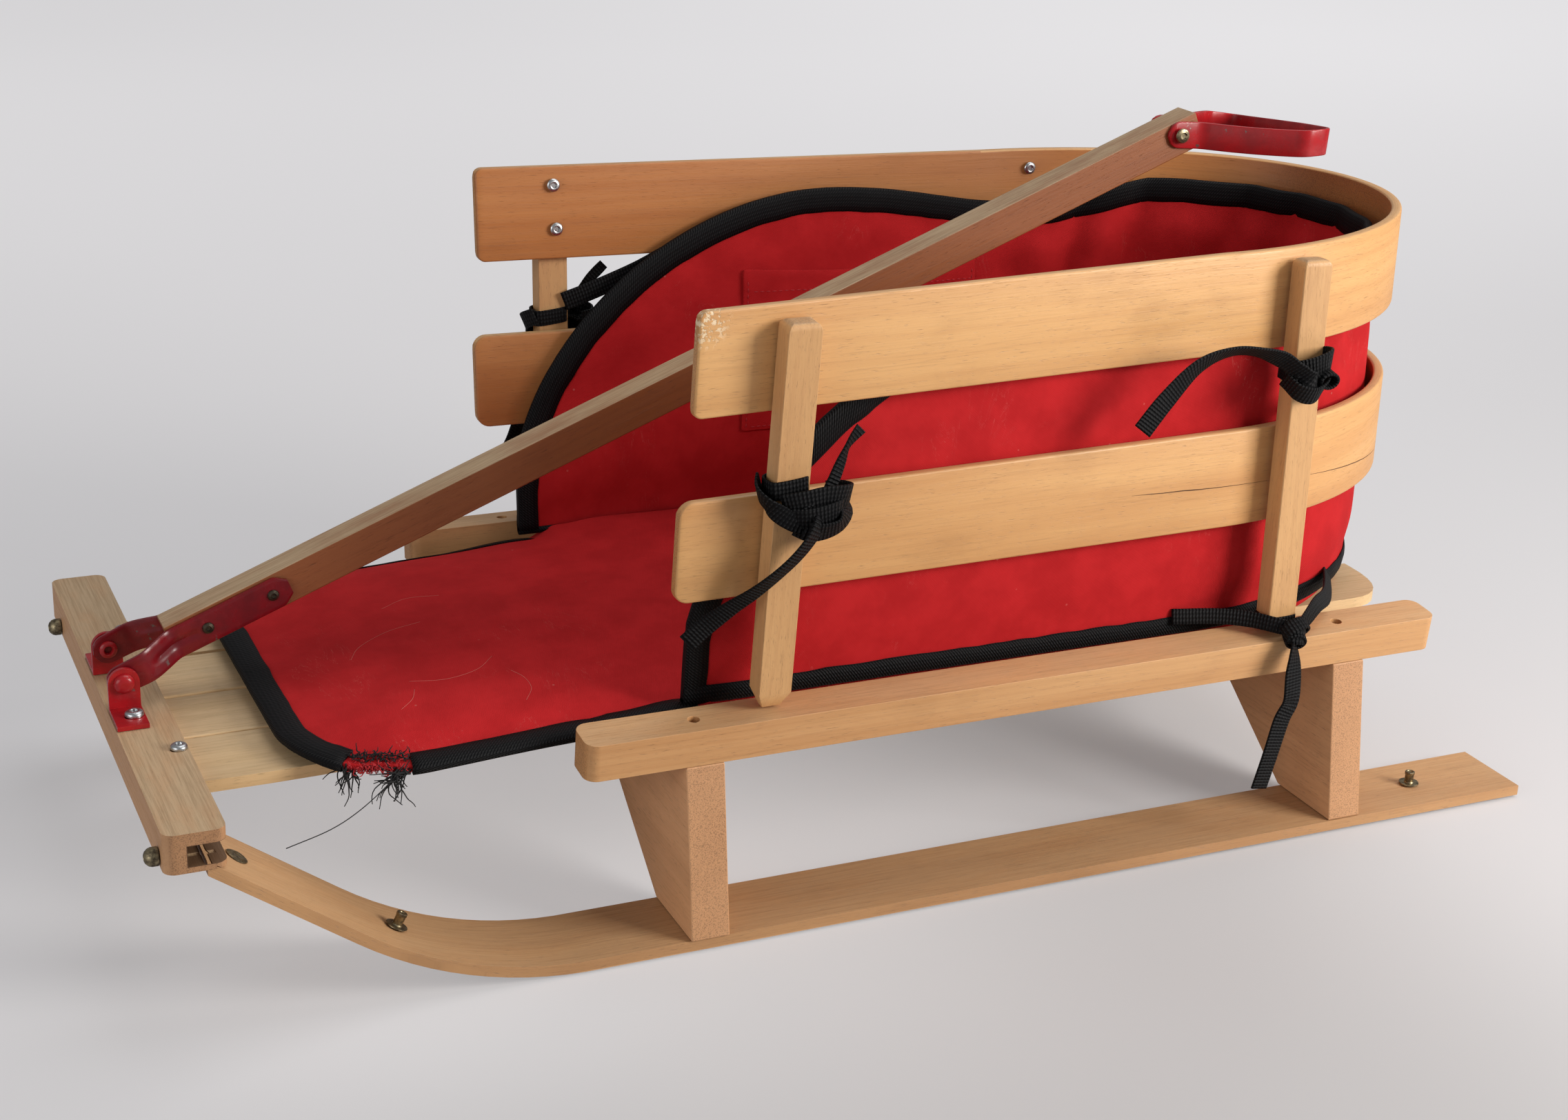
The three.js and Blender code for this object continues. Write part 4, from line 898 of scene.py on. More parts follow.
def build_wall():
    """The padded wall: thin at its edges, folded where it is bent round the back."""
    rows = 30
    height = np.linspace(0, 1, rows)
    outer, inner, flat = [], [], []
    for run, top in zip(columns, columns_top):
        z = LINER_BOTTOM + height * (top - LINER_BOTTOM)
        runs = np.full(rows, run)
        away = edge_distance(runs, z)
        half = 1.5 + 3.3 * smooth((away - 9) / 22)
        fold = fold_depth(runs, z) * (0.5 + 0.5 * smooth((away - 12) / 18))
        outer.append(wall_at(run, z, half - fold * 0.6))
        inner.append(wall_at(run, z, -half - fold))
        flat.append(np.stack([runs, z, np.zeros(rows)], -1))
    flat = np.array(flat).reshape(-1, 3)
    made = padded("liner_wall_cover", outer, inner, flat, flat + [0, 0, 4], RED)
    return made, edge_distance(flat[:, 0], flat[:, 1])


def inflate(obj, loose, most):
    """Swells a padded piece with Blender's cloth: loose is 0 where a point is held and 1 where it
    is free, and most is how far each point may move, in millimetres."""
    rest = np.zeros(len(obj.data.vertices) * 3)
    obj.data.vertices.foreach_get("co", rest)
    group = obj.vertex_groups.new(name="held")
    for i, share in enumerate(loose):
        group.add([i], float(1 - share), "REPLACE")
    parent = obj.parent
    obj.parent = None
    modifier = obj.modifiers.new("cloth", "CLOTH")
    settings = modifier.settings
    settings.vertex_group_mass = "held"
    settings.use_pressure = True
    settings.uniform_pressure_force = 3.0
    settings.effector_weights.gravity = 0.0
    settings.quality = 6
    settings.tension_stiffness = 18
    settings.compression_stiffness = 8
    settings.shear_stiffness = 5
    settings.bending_stiffness = 0.6
    settings.mass = 0.3
    modifier.collision_settings.use_collision = False
    modifier.point_cache.frame_start = 1
    modifier.point_cache.frame_end = 20
    for step in range(1, 21):
        bpy.context.scene.frame_set(step)
    shaped = obj.evaluated_get(bpy.context.evaluated_depsgraph_get())
    moved = np.zeros(len(rest))
    shaped.data.vertices.foreach_get("co", moved)
    obj.modifiers.remove(modifier)
    obj.vertex_groups.remove(group)
    obj.parent = parent
    bpy.context.scene.frame_set(1)
    shift = (moved - rest).reshape(-1, 3)
    size = np.linalg.norm(shift, axis=1)
    allowed = np.minimum(size, most * MM * loose)
    shift *= (allowed / np.maximum(size, 1e-9))[:, None]
    obj.data.vertices.foreach_set("co", (rest.reshape(-1, 3) + shift).ravel())
    obj.data.update()


def refine(obj):
    """One level of subdivision, kept as a modifier so that edges stay smooth."""
    modifier = obj.modifiers.new("smooth", "SUBSURF")
    modifier.levels = 1
    modifier.render_levels = 1


wall, wall_away = build_wall()
loose = smooth((wall_away - 8) / 30)
inflate(wall, np.tile(loose, 2), np.repeat([2.2, 6.0], len(loose)))
refine(wall)
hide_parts("liner_wall")


def edge_binding(name, edge, inward, point_at, width=12.0, inner_width=None, seed=1):
    """Black tape folded over a fabric edge. Edge and inward are rows of flat places and directions;
    point_at turns flat places and an offset from the middle surface into points."""
    draw = np.random.default_rng(seed)
    other = width if inner_width is None else inner_width
    section = [(width, 2.4), (width * 0.6, 2.9), (3.0, 3.0), (-0.9, 2.3), (-2.2, 1.0), (-2.2, -1.0),
               (-0.9, -2.3), (min(3.0, other), -3.0), (other * 0.6, -2.9), (other, -2.4),
               (other - 0.4, -1.5), (2.0, -1.6), (2.0, 1.6), (width - 0.4, 1.5)]
    run = run_of(edge)
    ripple_stops = np.arange(0, run[-1] + 9, 9)
    ripple = np.interp(run, ripple_stops, draw.uniform(-1, 1, len(ripple_stops)))
    rows, grain = [], []
    for i in range(len(edge)):
        line = []
        for inner, offset in section:
            wobble = ripple[i] * (0.5 if inner > width * 0.5 else 0.15)
            flat = edge[i] + inward[i] * (inner + wobble)
            line.append(point_at(flat, offset * (1 + 0.08 * ripple[i])))
        rows.append(line)
        grain.append([(run[i], inner * (1 if offset > 0 else -1) + 30, offset) for inner, offset in section])
    return sweep(name, rows, "sleigh", BINDING, grain)


def resample(line, step):
    """The same line with its points at even steps."""
    run = run_of(line)
    stops = np.linspace(0, run[-1], max(3, int(run[-1] / step)))
    return np.stack([np.interp(stops, run, line[:, i]) for i in range(2)], -1)


def inward_of(line, sign):
    """Smoothed directions square to a line, towards the cloth it edges."""
    along = unit(np.gradient(line, axis=0))
    normal = np.stack([along[:, 1], -along[:, 0]], -1) * sign
    for _ in range(3):
        normal[1:-1] = (normal[:-2] + normal[1:-1] * 2 + normal[2:]) / 4
        normal = unit(normal)
    return normal


def on_wall(flat, offset):
    """A place on the liner's wall from the distance along it, its height and its depth."""
    fold = float(fold_depth(np.array(flat[0]), flat[1])) * 0.5
    return wall_at(np.clip(flat[0], -6, WALL_RUN + 6), flat[1], offset - fold)


upper_line = np.vstack([[(0, LINER_BOTTOM)], UPPER_EDGE, [(WALL_RUN, LINER_BOTTOM)]])
upper_line = resample(upper_line, 5.0)
edge_binding("liner_binding_top", upper_line, inward_of(upper_line, 1.0), on_wall, 12.5, seed=3)
bottom_line = resample(np.array([[0.0, LINER_BOTTOM], [WALL_RUN, LINER_BOTTOM]]), 5.0)
edge_binding("liner_binding_bottom", bottom_line, inward_of(bottom_line, -1.0), on_wall, 9.0, 0.4, seed=5)

# ---------------------------------------------------------------- pocket

pocket_low, pocket_high = box("pocket")
pocket_x = (pocket_low[0] + MIDDLE_X, pocket_high[0] + MIDDLE_X)
pocket_z = (pocket_low[2] - LIFT, pocket_high[2] - LIFT)


def surface_tree(obj):
    """A piece's finished surface, ready for casting rays at."""
    shaped = obj.evaluated_get(bpy.context.evaluated_depsgraph_get())
    mesh = shaped.to_mesh()
    faces = [tuple(face.vertices) for face in mesh.polygons]
    tree = BVHTree.FromPolygons([vertex.co.copy() for vertex in mesh.vertices], faces)
    shaped.to_mesh_clear()
    return tree


wall_tree = surface_tree(wall)


def drop_on(tree, start, direction):
    """Where a ray in the sleigh frame first meets a surface, or None."""
    hit = tree.ray_cast(Vector(place(start)), Vector(direction))[0]
    return None if hit is None else np.array(hit) / MM + [MIDDLE_X, 0, -LIFT]


def on_inner_face(x, z, proud):
    """A place on the right wall's inner face, standing a little proud of it."""
    return drop_on(wall_tree, [x, -60.0, z], (0, -1, 0)) + [0, proud, 0]


def build_pocket():
    """A slack patch of cloth sewn on to the right wall."""
    cols, rows = 34, 24
    long, tall = pocket_x[1] - pocket_x[0], pocket_z[1] - pocket_z[0]
    front, back, flat = [], [], []
    for s in np.linspace(0, 1, cols):
        for t in np.linspace(0, 1, rows):
            x = pocket_x[0] + long * s
            z = pocket_z[0] + tall * t - 3.0 * math.sin(math.pi * s) * smooth((t - 0.7) / 0.3)
            edge = min(s, 1 - s) * 156
            belly = 2.4 * smooth(edge / 26) * smooth(t * 100 / 22)
            belly += 0.7 * math.sin(x / 9 + z / 31) * smooth(edge / 30)
            belly += 0.8 if t > 0.86 else 0
            belly += 0.5 if edge < 5 else 0
            front.append(on_inner_face(x, z, 1.6 + belly))
            back.append(on_inner_face(x, z, 0.5))
            flat.append((x, z, 0))
    shape = (cols, rows, 3)
    made = padded("pocket_cover", np.reshape(front, shape), np.reshape(back, shape), flat, flat, RED)
    sharpen(made, 55)
    refine(made)
    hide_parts("pocket")
    return made


pocket = build_pocket()
pocket_tree = surface_tree(pocket)


def stitches(name, line, material):
    """A row of small stitches along a line of points, as one piece."""
    length, gap, radius = 2.6, 1.3, 0.42
    line = np.asarray(line, float)
    run = run_of(line)
    lines = []
    start = 0.0
    while start + length < run[-1]:
        ends = start + np.array([0, length / 2, length])
        lines.append(np.stack([np.interp(ends, run, line[:, k]) for k in range(3)], -1))
        start += length + gap
    return tubes(name, lines, np.array([0.35, 1.0, 0.35]) * radius, 6, (0.0, 1.0, 0.05), material)


def pocket_row(name, x0, z0, x1, z1):
    """A straight row of stitches on the pocket."""
    spots = [(x0 + (x1 - x0) * t, z0 + (z1 - z0) * t) for t in np.linspace(0, 1, 40)]
    line = [drop_on(pocket_tree, [x, -60.0, z], (0, -1, 0)) for x, z in spots]
    stitches(name, [point + [0, 0.1, 0] for point in line if point is not None], THREAD_RED)


near_x, far_x = pocket_x[0] + 3, pocket_x[1] - 3
low_z, high_z = pocket_z[0] + 3, pocket_z[1] - 4
pocket_row("pocket_stitch_front", far_x, low_z, far_x, high_z)
pocket_row("pocket_stitch_back", near_x, low_z, near_x, high_z)
pocket_row("pocket_stitch_bottom", near_x, low_z, far_x, low_z)
pocket_row("pocket_stitch_hem", near_x, high_z - 10, far_x, high_z - 10)

# ---------------------------------------------------------------- seat and leg pad

PAD_HALF = 138.0
PAD_FRONT = 391.0
PAD_CORNER = 62.0
PAD_REAR = -282.0
CORNER_X = PAD_FRONT - PAD_CORNER     # where the front corners' arcs start
CORNER_Y = PAD_HALF - PAD_CORNER
TEAR_X = (CORNER_X + 6, CORNER_X + 43)
pad_low, pad_high = box("seat_pad")
PAD_MID = (pad_low[2] + pad_high[2]) / 2 - LIFT + 3.3
PAD_DROP = 6.6


def pad_half_at(x):
    """The pad's half width at a place along its length."""
    if x > CORNER_X:
        return CORNER_Y + math.sqrt(max(0.0, PAD_CORNER ** 2 - (x - CORNER_X) ** 2))
    if x < BEND_X:
        return PAD_HALF * math.sqrt(max(0.0, 1 - ((BEND_X - x) / (BEND_X - PAD_REAR)) ** 2))
    return PAD_HALF


def pad_middle(x, y):
    """The pad's middle surface: level, then down with the deck, and drooping off its sides."""
    drop = PAD_DROP * smooth((x - 225) / 160)
    droop = 3.5 * smooth((np.abs(y) - 100) / 38) * smooth((x - 190) / 60)
    droop = droop + 5.5 * smooth((-y - 120) / 18) * smooth((x - 176) / 10)
    crease = 2.4 * np.exp(-((x - 172 - 0.05 * y) / 9) ** 2)
    lift = 1.6 * np.exp(-((x - 140) / 20) ** 2) + 1.4 * np.exp(-((x - 204) / 20) ** 2)
    return PAD_MID - drop - droop - crease * 0.6 + lift * 0.5


pad_columns = np.concatenate([
    BEND_X - (BEND_X - PAD_REAR) * np.cos(np.radians(np.linspace(6, 90, 20))),
    np.linspace(BEND_X, CORNER_X, 72)[1:],
    CORNER_X + PAD_CORNER * np.sin(np.radians(np.linspace(0, 90, 13)[1:])),
])


def pad_edge_distance(x, y, half):
    """How far places across the pad lie from its edge."""
    across = np.abs(y)
    away = np.minimum(PAD_FRONT - x, PAD_HALF - across)
    if x < CORNER_X:
        away = np.minimum(away, half - across)
    if x < BEND_X:
        away = np.minimum(away, (x - PAD_REAR) * 0.8)
    corner = PAD_CORNER - np.hypot(x - CORNER_X, across - CORNER_Y)
    return np.maximum(np.where((x > CORNER_X) & (across > CORNER_Y), corner, away), 0)


def torn_back(x):
    """How far the torn front left corner has lost its edge."""
    share = np.clip((x - TEAR_X[0]) / (TEAR_X[1] - TEAR_X[0]), 0, 1)
    return 4.5 * math.sin(math.pi * share) ** 2


def build_pad():
    """The padded seat and leg cover, snug inside the wall and torn at one corner."""
    rows = 48
    reach = math.radians(86.4)
    share = np.sin(np.linspace(-reach, reach, rows)) / math.sin(reach)
    top, bottom, flat, away_all = [], [], [], []
    for x in pad_columns:
        half = pad_half_at(x)
        y = share * half
        away = pad_edge_distance(x, y, half)
        inside_liner = 1 - 0.05 * smooth((184 - x) / 14)
        y = np.where(y > 0, y * (1 - torn_back(x) / half), y) * inside_liner
        snug = 6.6 * smooth((190 - x) / 22)
        swell = 1.6 + snug + (4.0 - snug * 0.6) * smooth((away - 12) / 30)
        middle = pad_middle(x, y)
        below = np.minimum(1.6 + (swell - 1.6) * 0.6, 5.2)
        top.append(np.stack([np.full(rows, x), y, middle + swell], -1))
        bottom.append(np.stack([np.full(rows, x), y, middle - below], -1))
        flat.append(np.stack([np.full(rows, x), y, np.zeros(rows)], -1))
        away_all.append(away)
    flat = np.array(flat).reshape(-1, 3)
    made = padded("seat_pad_cover", top, bottom, flat, flat, RED)
    loose = smooth((np.concatenate(away_all) - 8) / 34)
    held = np.zeros(len(loose))
    inflate(made, np.concatenate([loose, held]), np.concatenate([held + 4.5, held]))
    refine(made)
    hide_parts("seat_pad")
    return made


pad = build_pad()


def on_pad(flat, offset):
    """A place over or under the pad's middle surface."""
    x, y = flat
    return np.array([x, y, float(pad_middle(x, y)) + offset])


def pad_outline(step):
    """The pad's edge from its left side, round the front, to its right side."""
    line = [(x, PAD_HALF) for x in np.linspace(LINER_FRONT - 8, CORNER_X, 40)]
    for angle in np.radians(np.linspace(90, 0, 20)):
        line.append((CORNER_X + PAD_CORNER * math.cos(angle), CORNER_Y + PAD_CORNER * math.sin(angle)))
    line = np.array(line)
    return resample(np.vstack([line, line[::-1] * [1, -1]]), step)


outline = pad_outline(5.0)
inward = inward_of(outline, 1.0)
torn = (outline[:, 1] > 100) & (outline[:, 0] > TEAR_X[0]) & (outline[:, 0] < TEAR_X[1])
first_torn, last_torn = np.flatnonzero(torn)[[0, -1]]
edge_binding("pad_binding_left", outline[:first_torn + 1], inward[:first_torn + 1], on_pad, 12.0, seed=7)
edge_binding("pad_binding_front", outline[last_torn:], inward[last_torn:], on_pad, 12.5, seed=8)


def thread_bundle(name, starts, length, droop, radius, material, seed, curl, spread=1.0, lean=(0, 0, 0)):
    """Loose threads that start at the torn edge and wander down, leaning one way."""
    draw = np.random.default_rng(seed)
    steps = 12
    lines = []
    for start in starts:
        size = length * draw.uniform(0.35, 1.0)
        across = draw.normal(0, 0.5) * spread
        outward = abs(draw.normal(0.55, 0.35)) * spread
        heading = np.array([across, outward, 0.2 - droop]) + lean
        turn = draw.normal(0, curl, 3)
        heading /= np.linalg.norm(heading)
        path = [np.array(start, float)]
        for _ in range(steps):
            turn = turn * 0.7 + draw.normal(0, curl, 3)
            heading = heading + turn * 0.35 + [0, 0, -droop * 0.16]
            heading /= np.linalg.norm(heading)
            path.append(path[-1] + heading * size / steps)
        lines.append(path)
    tubes(name, lines, np.linspace(radius, radius / 2, steps + 1), 5, (0.3, 0.9, 0.2), material)


tear_line = outline[first_torn:last_torn + 1]
tear_in = inward[first_torn:last_torn + 1]
draw = np.random.default_rng(21)


def tear_starts(count, low, high, depth, lift):
    """Places along the torn edge, a little inside it."""
    out = []
    for _ in range(count):
        t = draw.uniform(low, high) * (len(tear_line) - 1)
        i = min(int(t), len(tear_line) - 2)
        flat = tear_line[i] + (tear_line[i + 1] - tear_line[i]) * (t - i) + tear_in[i] * draw.uniform(*depth)
        out.append(on_pad(flat, draw.uniform(*lift)))
    return out


thread_bundle("torn_red_fluff", tear_starts(150, 0.1, 0.93, (0.5, 6.5), (-2, 2)), 5.5, 0.25, 0.4,
              THREAD_RED, 31, 1.2)
thread_bundle("torn_black_fluff", tear_starts(80, 0.0, 1.0, (6, 11), (2, 4)), 7, 0.1, 0.4,
              BLACK_THREAD, 32, 1.1)
thread_bundle("torn_threads_front", tear_starts(26, 0.84, 1.0, (-2.5, 6), (-2, 2)), 19, 1.1, 0.45,
              BLACK_THREAD, 33, 0.45, 0.5)
thread_bundle("torn_threads_back", tear_starts(40, 0.0, 0.24, (-2.5, 4), (-2.5, 1)), 24, 0.3, 0.45,
              BLACK_THREAD, 34, 0.4, 0.5, (1.0, 0, -0.2))
long_path = [[343, 140, 112, 0, 0, 1], [352, 143, 104, 0, 0, 1], [368, 150, 96, 0, 0, 1],
             [384, 154, 90, 0, 0, 1], [407, 160, 87, 0, 0, 1]]
strap("torn_long_thread", long_path, 0.5, 0.4, "sleigh", BLACK_THREAD, step=3.0)


def lint(name, points):
    """A pale hair lying on the pad."""
    path = []
    for x, y in points:
        spot = drop_on(pad_tree, [x, y, 200.0], (0, 0, -1)) + [0, 0, 0.05]
        path.append([*spot, 0, 1, 0])
    strap(name, path, 0.17, 0.14, "sleigh", LINT, step=2.5)


pad_tree = surface_tree(pad)
lint("lint_1", ((338, 18), (330, 5), (312, -6), (292, -10)))
lint("lint_2", ((318, 60), (300, 66), (282, 62), (270, 50)))
lint("lint_3", ((306, -38), (290, -46), (272, -42)))
lint("lint_4", ((268, 102), (262, 92), (262, 80), (266, 70)))
lint("lint_5", ((330, 88), (322, 80), (318, 70)))

# ---------------------------------------------------------------- ties

STRAP_WIDTH = 11.5
STRAP_THICK = 1.5


def post_centre(where, sign, z):
    """The middle of an upright at a height."""
    post = POSTS[where]
    y = post["foot_y"] + (z - POST_FOOT_Z) * math.tan(post["lean"])
    return np.array([post["x"] + sign * post["skew"], sign * y, z])


def loop_round(name, centre, half_x, half_y, width, tilt=0.0):
    """A strap wrapped round a post, seen as a rounded rectangle in plan."""
    path = []
    for angle in np.radians(np.arange(0, 360, 30)):
        c, s = math.cos(angle), math.sin(angle)
        x = half_x * np.sign(c) * abs(c) ** 0.55
        y = half_y * np.sign(s) * abs(s) ** 0.55
        path.append([centre[0] + x, centre[1] + y, centre[2] + tilt * x, 0, 0, 1])
    strap(name, path, width, STRAP_THICK, "sleigh", WEBBING, closed=True)


def ring(name, centre, ex, ey, width, sign):
    """A tight closed turn of strap: ex and ey are its half axes, and its width runs across both."""
    ex, ey = np.array(ex, float), np.array(ey, float)
    across = np.cross(ex, ey)
    across /= np.linalg.norm(across)
    path = []
    for angle in np.radians(np.arange(0, 360, 36)):
        p = np.array(centre, float) + ex * math.cos(angle) + ey * math.sin(angle)
        path.append([*p, *across])
    strap(name, mirrored(path, sign), width, 1.6, "sleigh", WEBBING, closed=True, step=1.4)


def tail(name, path, sign, width=STRAP_WIDTH, wave=0.0):
    """A loose run of strap, given for the left side."""
    strap(name, mirrored(path, sign), width, STRAP_THICK, "sleigh", WEBBING, wave=wave)


def mirrored(rows, sign):
    """Rows given for the left side: points and width directions, mirrored for the right side."""
    return [[r[0], sign * r[1], r[2], r[3], sign * r[4], r[5]] for r in rows]


def shifted(rows, x):
    """A path moved along the sleigh."""
    return [[r[0] + x, *r[1:]] for r in rows]


for side, sign in (("left", 1), ("right", -1)):
    # The front ties, round the front uprights just above the lower hoop.
    name = f"tie_front_{side}"
    dx = 0.0 if sign > 0 else 9.0
    loop_round(f"{name}_loop", post_centre("front", sign, 245.0), 10.4, 7.8, 9.5, -0.1)
    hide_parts(name)
    wrap = [[167, 159, 246, 0.2, 0, 1], [170.5, 167, 242, 0.3, 0, 1], [168, 174.5, 238, 0.45, 0, 0.9],
            [160, 177.5, 231.5, 0.5, 0, 0.9], [151, 179, 227.5, 0.45, 0, 0.9],
            [143, 179.5, 227, 0.1, 0.1, 1], [135, 178, 231, -0.3, 0.2, 0.95],
            [130, 175, 236, -0.4, 0.2, 0.9]]
    tail(f"{name}_wrap", shifted(wrap, dx), sign, 10.5)
    over = [[161, 175.5, 237, 0.4, 0.1, 1], [152, 181, 239.5, 0.2, 0.15, 1], [141, 183, 241.5, 0, 0.15, 1],
            [131, 182, 241, -0.1, 0.2, 1], [126, 177, 239.5, -0.15, 0.1, 1], [127.5, 170, 238.5, -0.1, 0, 1],
            [134, 167, 238, 0, 0, 1]]
    tail(f"{name}_over", shifted(over, dx), sign, 13.5)
    under = [[129.5, 172, 237, 0.9, 0.3, 0.2], [128, 178.5, 232, 0.8, 0.55, 0.3],
             [131.5, 181.5, 226.5, 0.5, 0.6, 0.6], [139, 182, 224, 0.15, 0.5, 0.85],
             [147.5, 181, 224, -0.2, 0.4, 0.9], [154, 177, 227, -0.3, 0.3, 0.9]]
    tail(f"{name}_under", shifted(under, dx), sign, 12.0)
    ring(f"{name}_core", (142 + dx, 177, 233), (11, 0, 1.5), (0.8, 1.5, 6.5), 9, sign)
    ring(f"{name}_core_2", (136 + dx, 177.5, 233), (5.5, 1, 4.5), (-2.5, 1.0, 4.0), 8.5, sign)
    cross = [[157, 177, 231, 0.35, 0.2, 0.95], [150, 182, 231.5, 0.2, 0.2, 0.95],
             [142, 183.6, 233, 0.15, 0.2, 0.97], [134, 182.5, 234.5, 0.1, 0.25, 0.96],
             [128, 178, 235.5, 0, 0.3, 0.95]]
    tail(f"{name}_cross", shifted(cross, dx), sign, 11.5)
    end = [[138, 178, 243, 0.9, 0, 0.4], [134.5, 177.5, 250, 0.9, 0, 0.4], [130, 175, 257.5, 0.75, 0.3, 0.4],
           [126.5, 173.5, 263.5, 0.55, 0.6, 0.3], [122.5, 172.5, 268, 0.75, 0.4, 0.4],
           [118.5, 172, 272, 0.8, 0, 0.5]]
    tail(f"{name}_end", shifted(end, dx), sign, 6.5, 0.9)
    down = [[142, 182, 233, 0.75, 0.3, 0.5], [147, 184, 224, 0.6, 0.5, 0.6],
            [154, 181.5, 213, 0.55, 0.55, 0.6], [163, 177, 202, 0.55, 0.55, 0.6],
            [172, 170, 191, 0.6, 0.45, 0.65], [181, 161, 180.5, 0.58, 0.2, 0.7],
            [190, 153, 169.5, 0.5, -0.2, 0.7], [199, 148.5, 159, 0.5, -0.3, 0.65]]
    tail(f"{name}_strap", shifted(down, dx * 0.4), sign, 10.0, 0.5)

    # The rear ties, round the rear uprights between the hoops.
    name = f"tie_rear_{side}"
    loop_round(f"{name}_loop", post_centre("rear", sign, 270.0) - [3.5, 0, 0], 10.6, 8.0, 10.0, 0.1)
    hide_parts(name)
    arch = [[-45.5, 171, 253.5, 0.78, 0, 0.62], [-58.5, 172, 270.0, 0.75, 0.1, 0.65],
            [-77, 171, 286, 0.55, 0.45, 0.7], [-98, 169, 291.4, 0.3, 0.75, 0.6],
            [-117, 168, 289.5, 0.2, 0.8, 0.55], [-132, 167, 284, 0.3, 0.5, 0.8],
            [-142, 169, 277, 0.5, 0.2, 0.85], [-150, 170.5, 271, 0.45, 0.1, 0.9],
            [-158, 167, 267, 0.1, 0.1, 1]]
    tail(f"{name}_tail", arch, sign, 12.0, 0.2)
    over = [[-139, 160.5, 274.5, 0.2, 0, 1], [-146, 167, 276, 0.15, 0.1, 1],
            [-155, 169, 278.5, 0.1, 0.15, 1], [-163.5, 167, 280.5, 0, 0.15, 1],
            [-168, 160, 279.5, 0, 0, 1], [-166, 153, 278, 0, 0, 1]]
    tail(f"{name}_over", over, sign, 13.0)
    under = [[-139, 161, 271, 0.3, 0.2, 1], [-144, 168, 265, 0.2, 0.4, 0.9], [-153, 170, 262.5, 0, 0.4, 0.9],
             [-161, 167, 265, -0.3, 0.3, 0.9], [-166, 162, 269, -0.3, 0.2, 0.9]]
    tail(f"{name}_under", under, sign, 11.5)
    ring(f"{name}_turn", (-162.5, 167, 270.5), (5.8, 0.5, 0.8), (-0.5, 1.0, 4.2), 8.0, sign)
    ring(f"{name}_core", (-151, 164, 270), (9, 0, 1.5), (0.8, 1.5, 6.0), 9, sign)
    anchor = [[-158, 163, 262, 0.75, 0.3, -0.5], [-166, 153, 255, 0.75, 0.3, -0.5],
              [-175, 139, 246, 0.75, 0.3, -0.5], [-184, 124, 235, 0.7, 0.4, -0.5]]
    tail(f"{name}_strap", anchor, sign, 10.0, 0.2)

    # The lower ties, round the feet of the rear uprights.
    name = f"tie_foot_{side}"
    loop_round(f"{name}_loop", post_centre("rear", sign, 128.6), 9.8, 7.4, 6.5)
    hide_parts(name)
    front = [[-98, 137.5, 129, 0.1, -0.3, 0.95], [-122, 146, 129.5, 0.1, -0.3, 0.95],
             [-137, 156, 129.5, 0, -0.3, 0.95], [-146, 166, 129, 0, -0.2, 1], [-154, 172, 127.5, 0, 0, 1]]
    tail(f"{name}_front_strap", front, sign, 9.0)
    rear = [[-226, 106, 127, 0.4, -0.3, 0.85], [-212, 126, 128, 0.4, -0.3, 0.85],
            [-198, 143, 130, 0.4, -0.3, 0.85], [-182, 157, 133, 0.35, -0.3, 0.9],
            [-170, 166, 131, 0.2, -0.2, 0.95], [-160, 172, 127.5, 0, 0, 1]]
    tail(f"{name}_rear_strap", rear, sign, 9.5)
    ring(f"{name}_knot_1", (-157, 172.5, 125), (5.2, 0, 1.0), (0, 4.2, 1.0), 12.5, sign)
    ring(f"{name}_knot_2", (-156.5, 172.5, 127.5), (7.0, 0, -2.0), (1.5, 3.0, 4.0), 8.0, sign)
    ring(f"{name}_knot_3", (-156.5, 173, 122), (5.6, 0, 2.5), (-1.5, 2.6, 4.2), 7.0, sign)
    hang = [[-155, 175, 121, 0.6, 0.75, 0.1], [-154, 178, 113, 0.85, 0.45, 0.1],
            [-153.5, 179.5, 103, 1, 0.15, 0], [-154, 179.5, 87, 1, 0.1, 0.05],
            [-149.5, 179, 76, 0.95, 0.05, 0.25], [-145.5, 178.5, 58, 0.98, 0.1, 0.2],
            [-140.5, 177, 34, 0.98, 0.1, 0.2]]
    tail(f"{name}_tail", hang, sign, 11.5, 0.35)

# The far front tie's upper strap runs back to the liner's edge.
reach = [[158, 158.5, 254, 0.25, 0, 1], [140, 155, 261, 0.3, 0, 1], [114, 151, 272, 0.35, 0, 1],
         [96, 147, 282, 0.35, 0, 1], [84, 143, 288, 0.35, 0, 1]]
tail("tie_front_right_upper_strap", reach, -1, 11.5)

# ---------------------------------------------------------------- tow bar straps and grip loop


def in_bar(points):
    """Places measured along the tow bar from its pivot, into the sleigh's frame."""
    points = np.asarray(points, float)
    c, s = math.cos(BAR_ANGLE), math.sin(BAR_ANGLE)
    x = points[..., 0] * c + points[..., 2] * s
    z = -points[..., 0] * s + points[..., 2] * c
    return np.stack([x + pivot[0], points[..., 1], z + pivot[2]], -1)


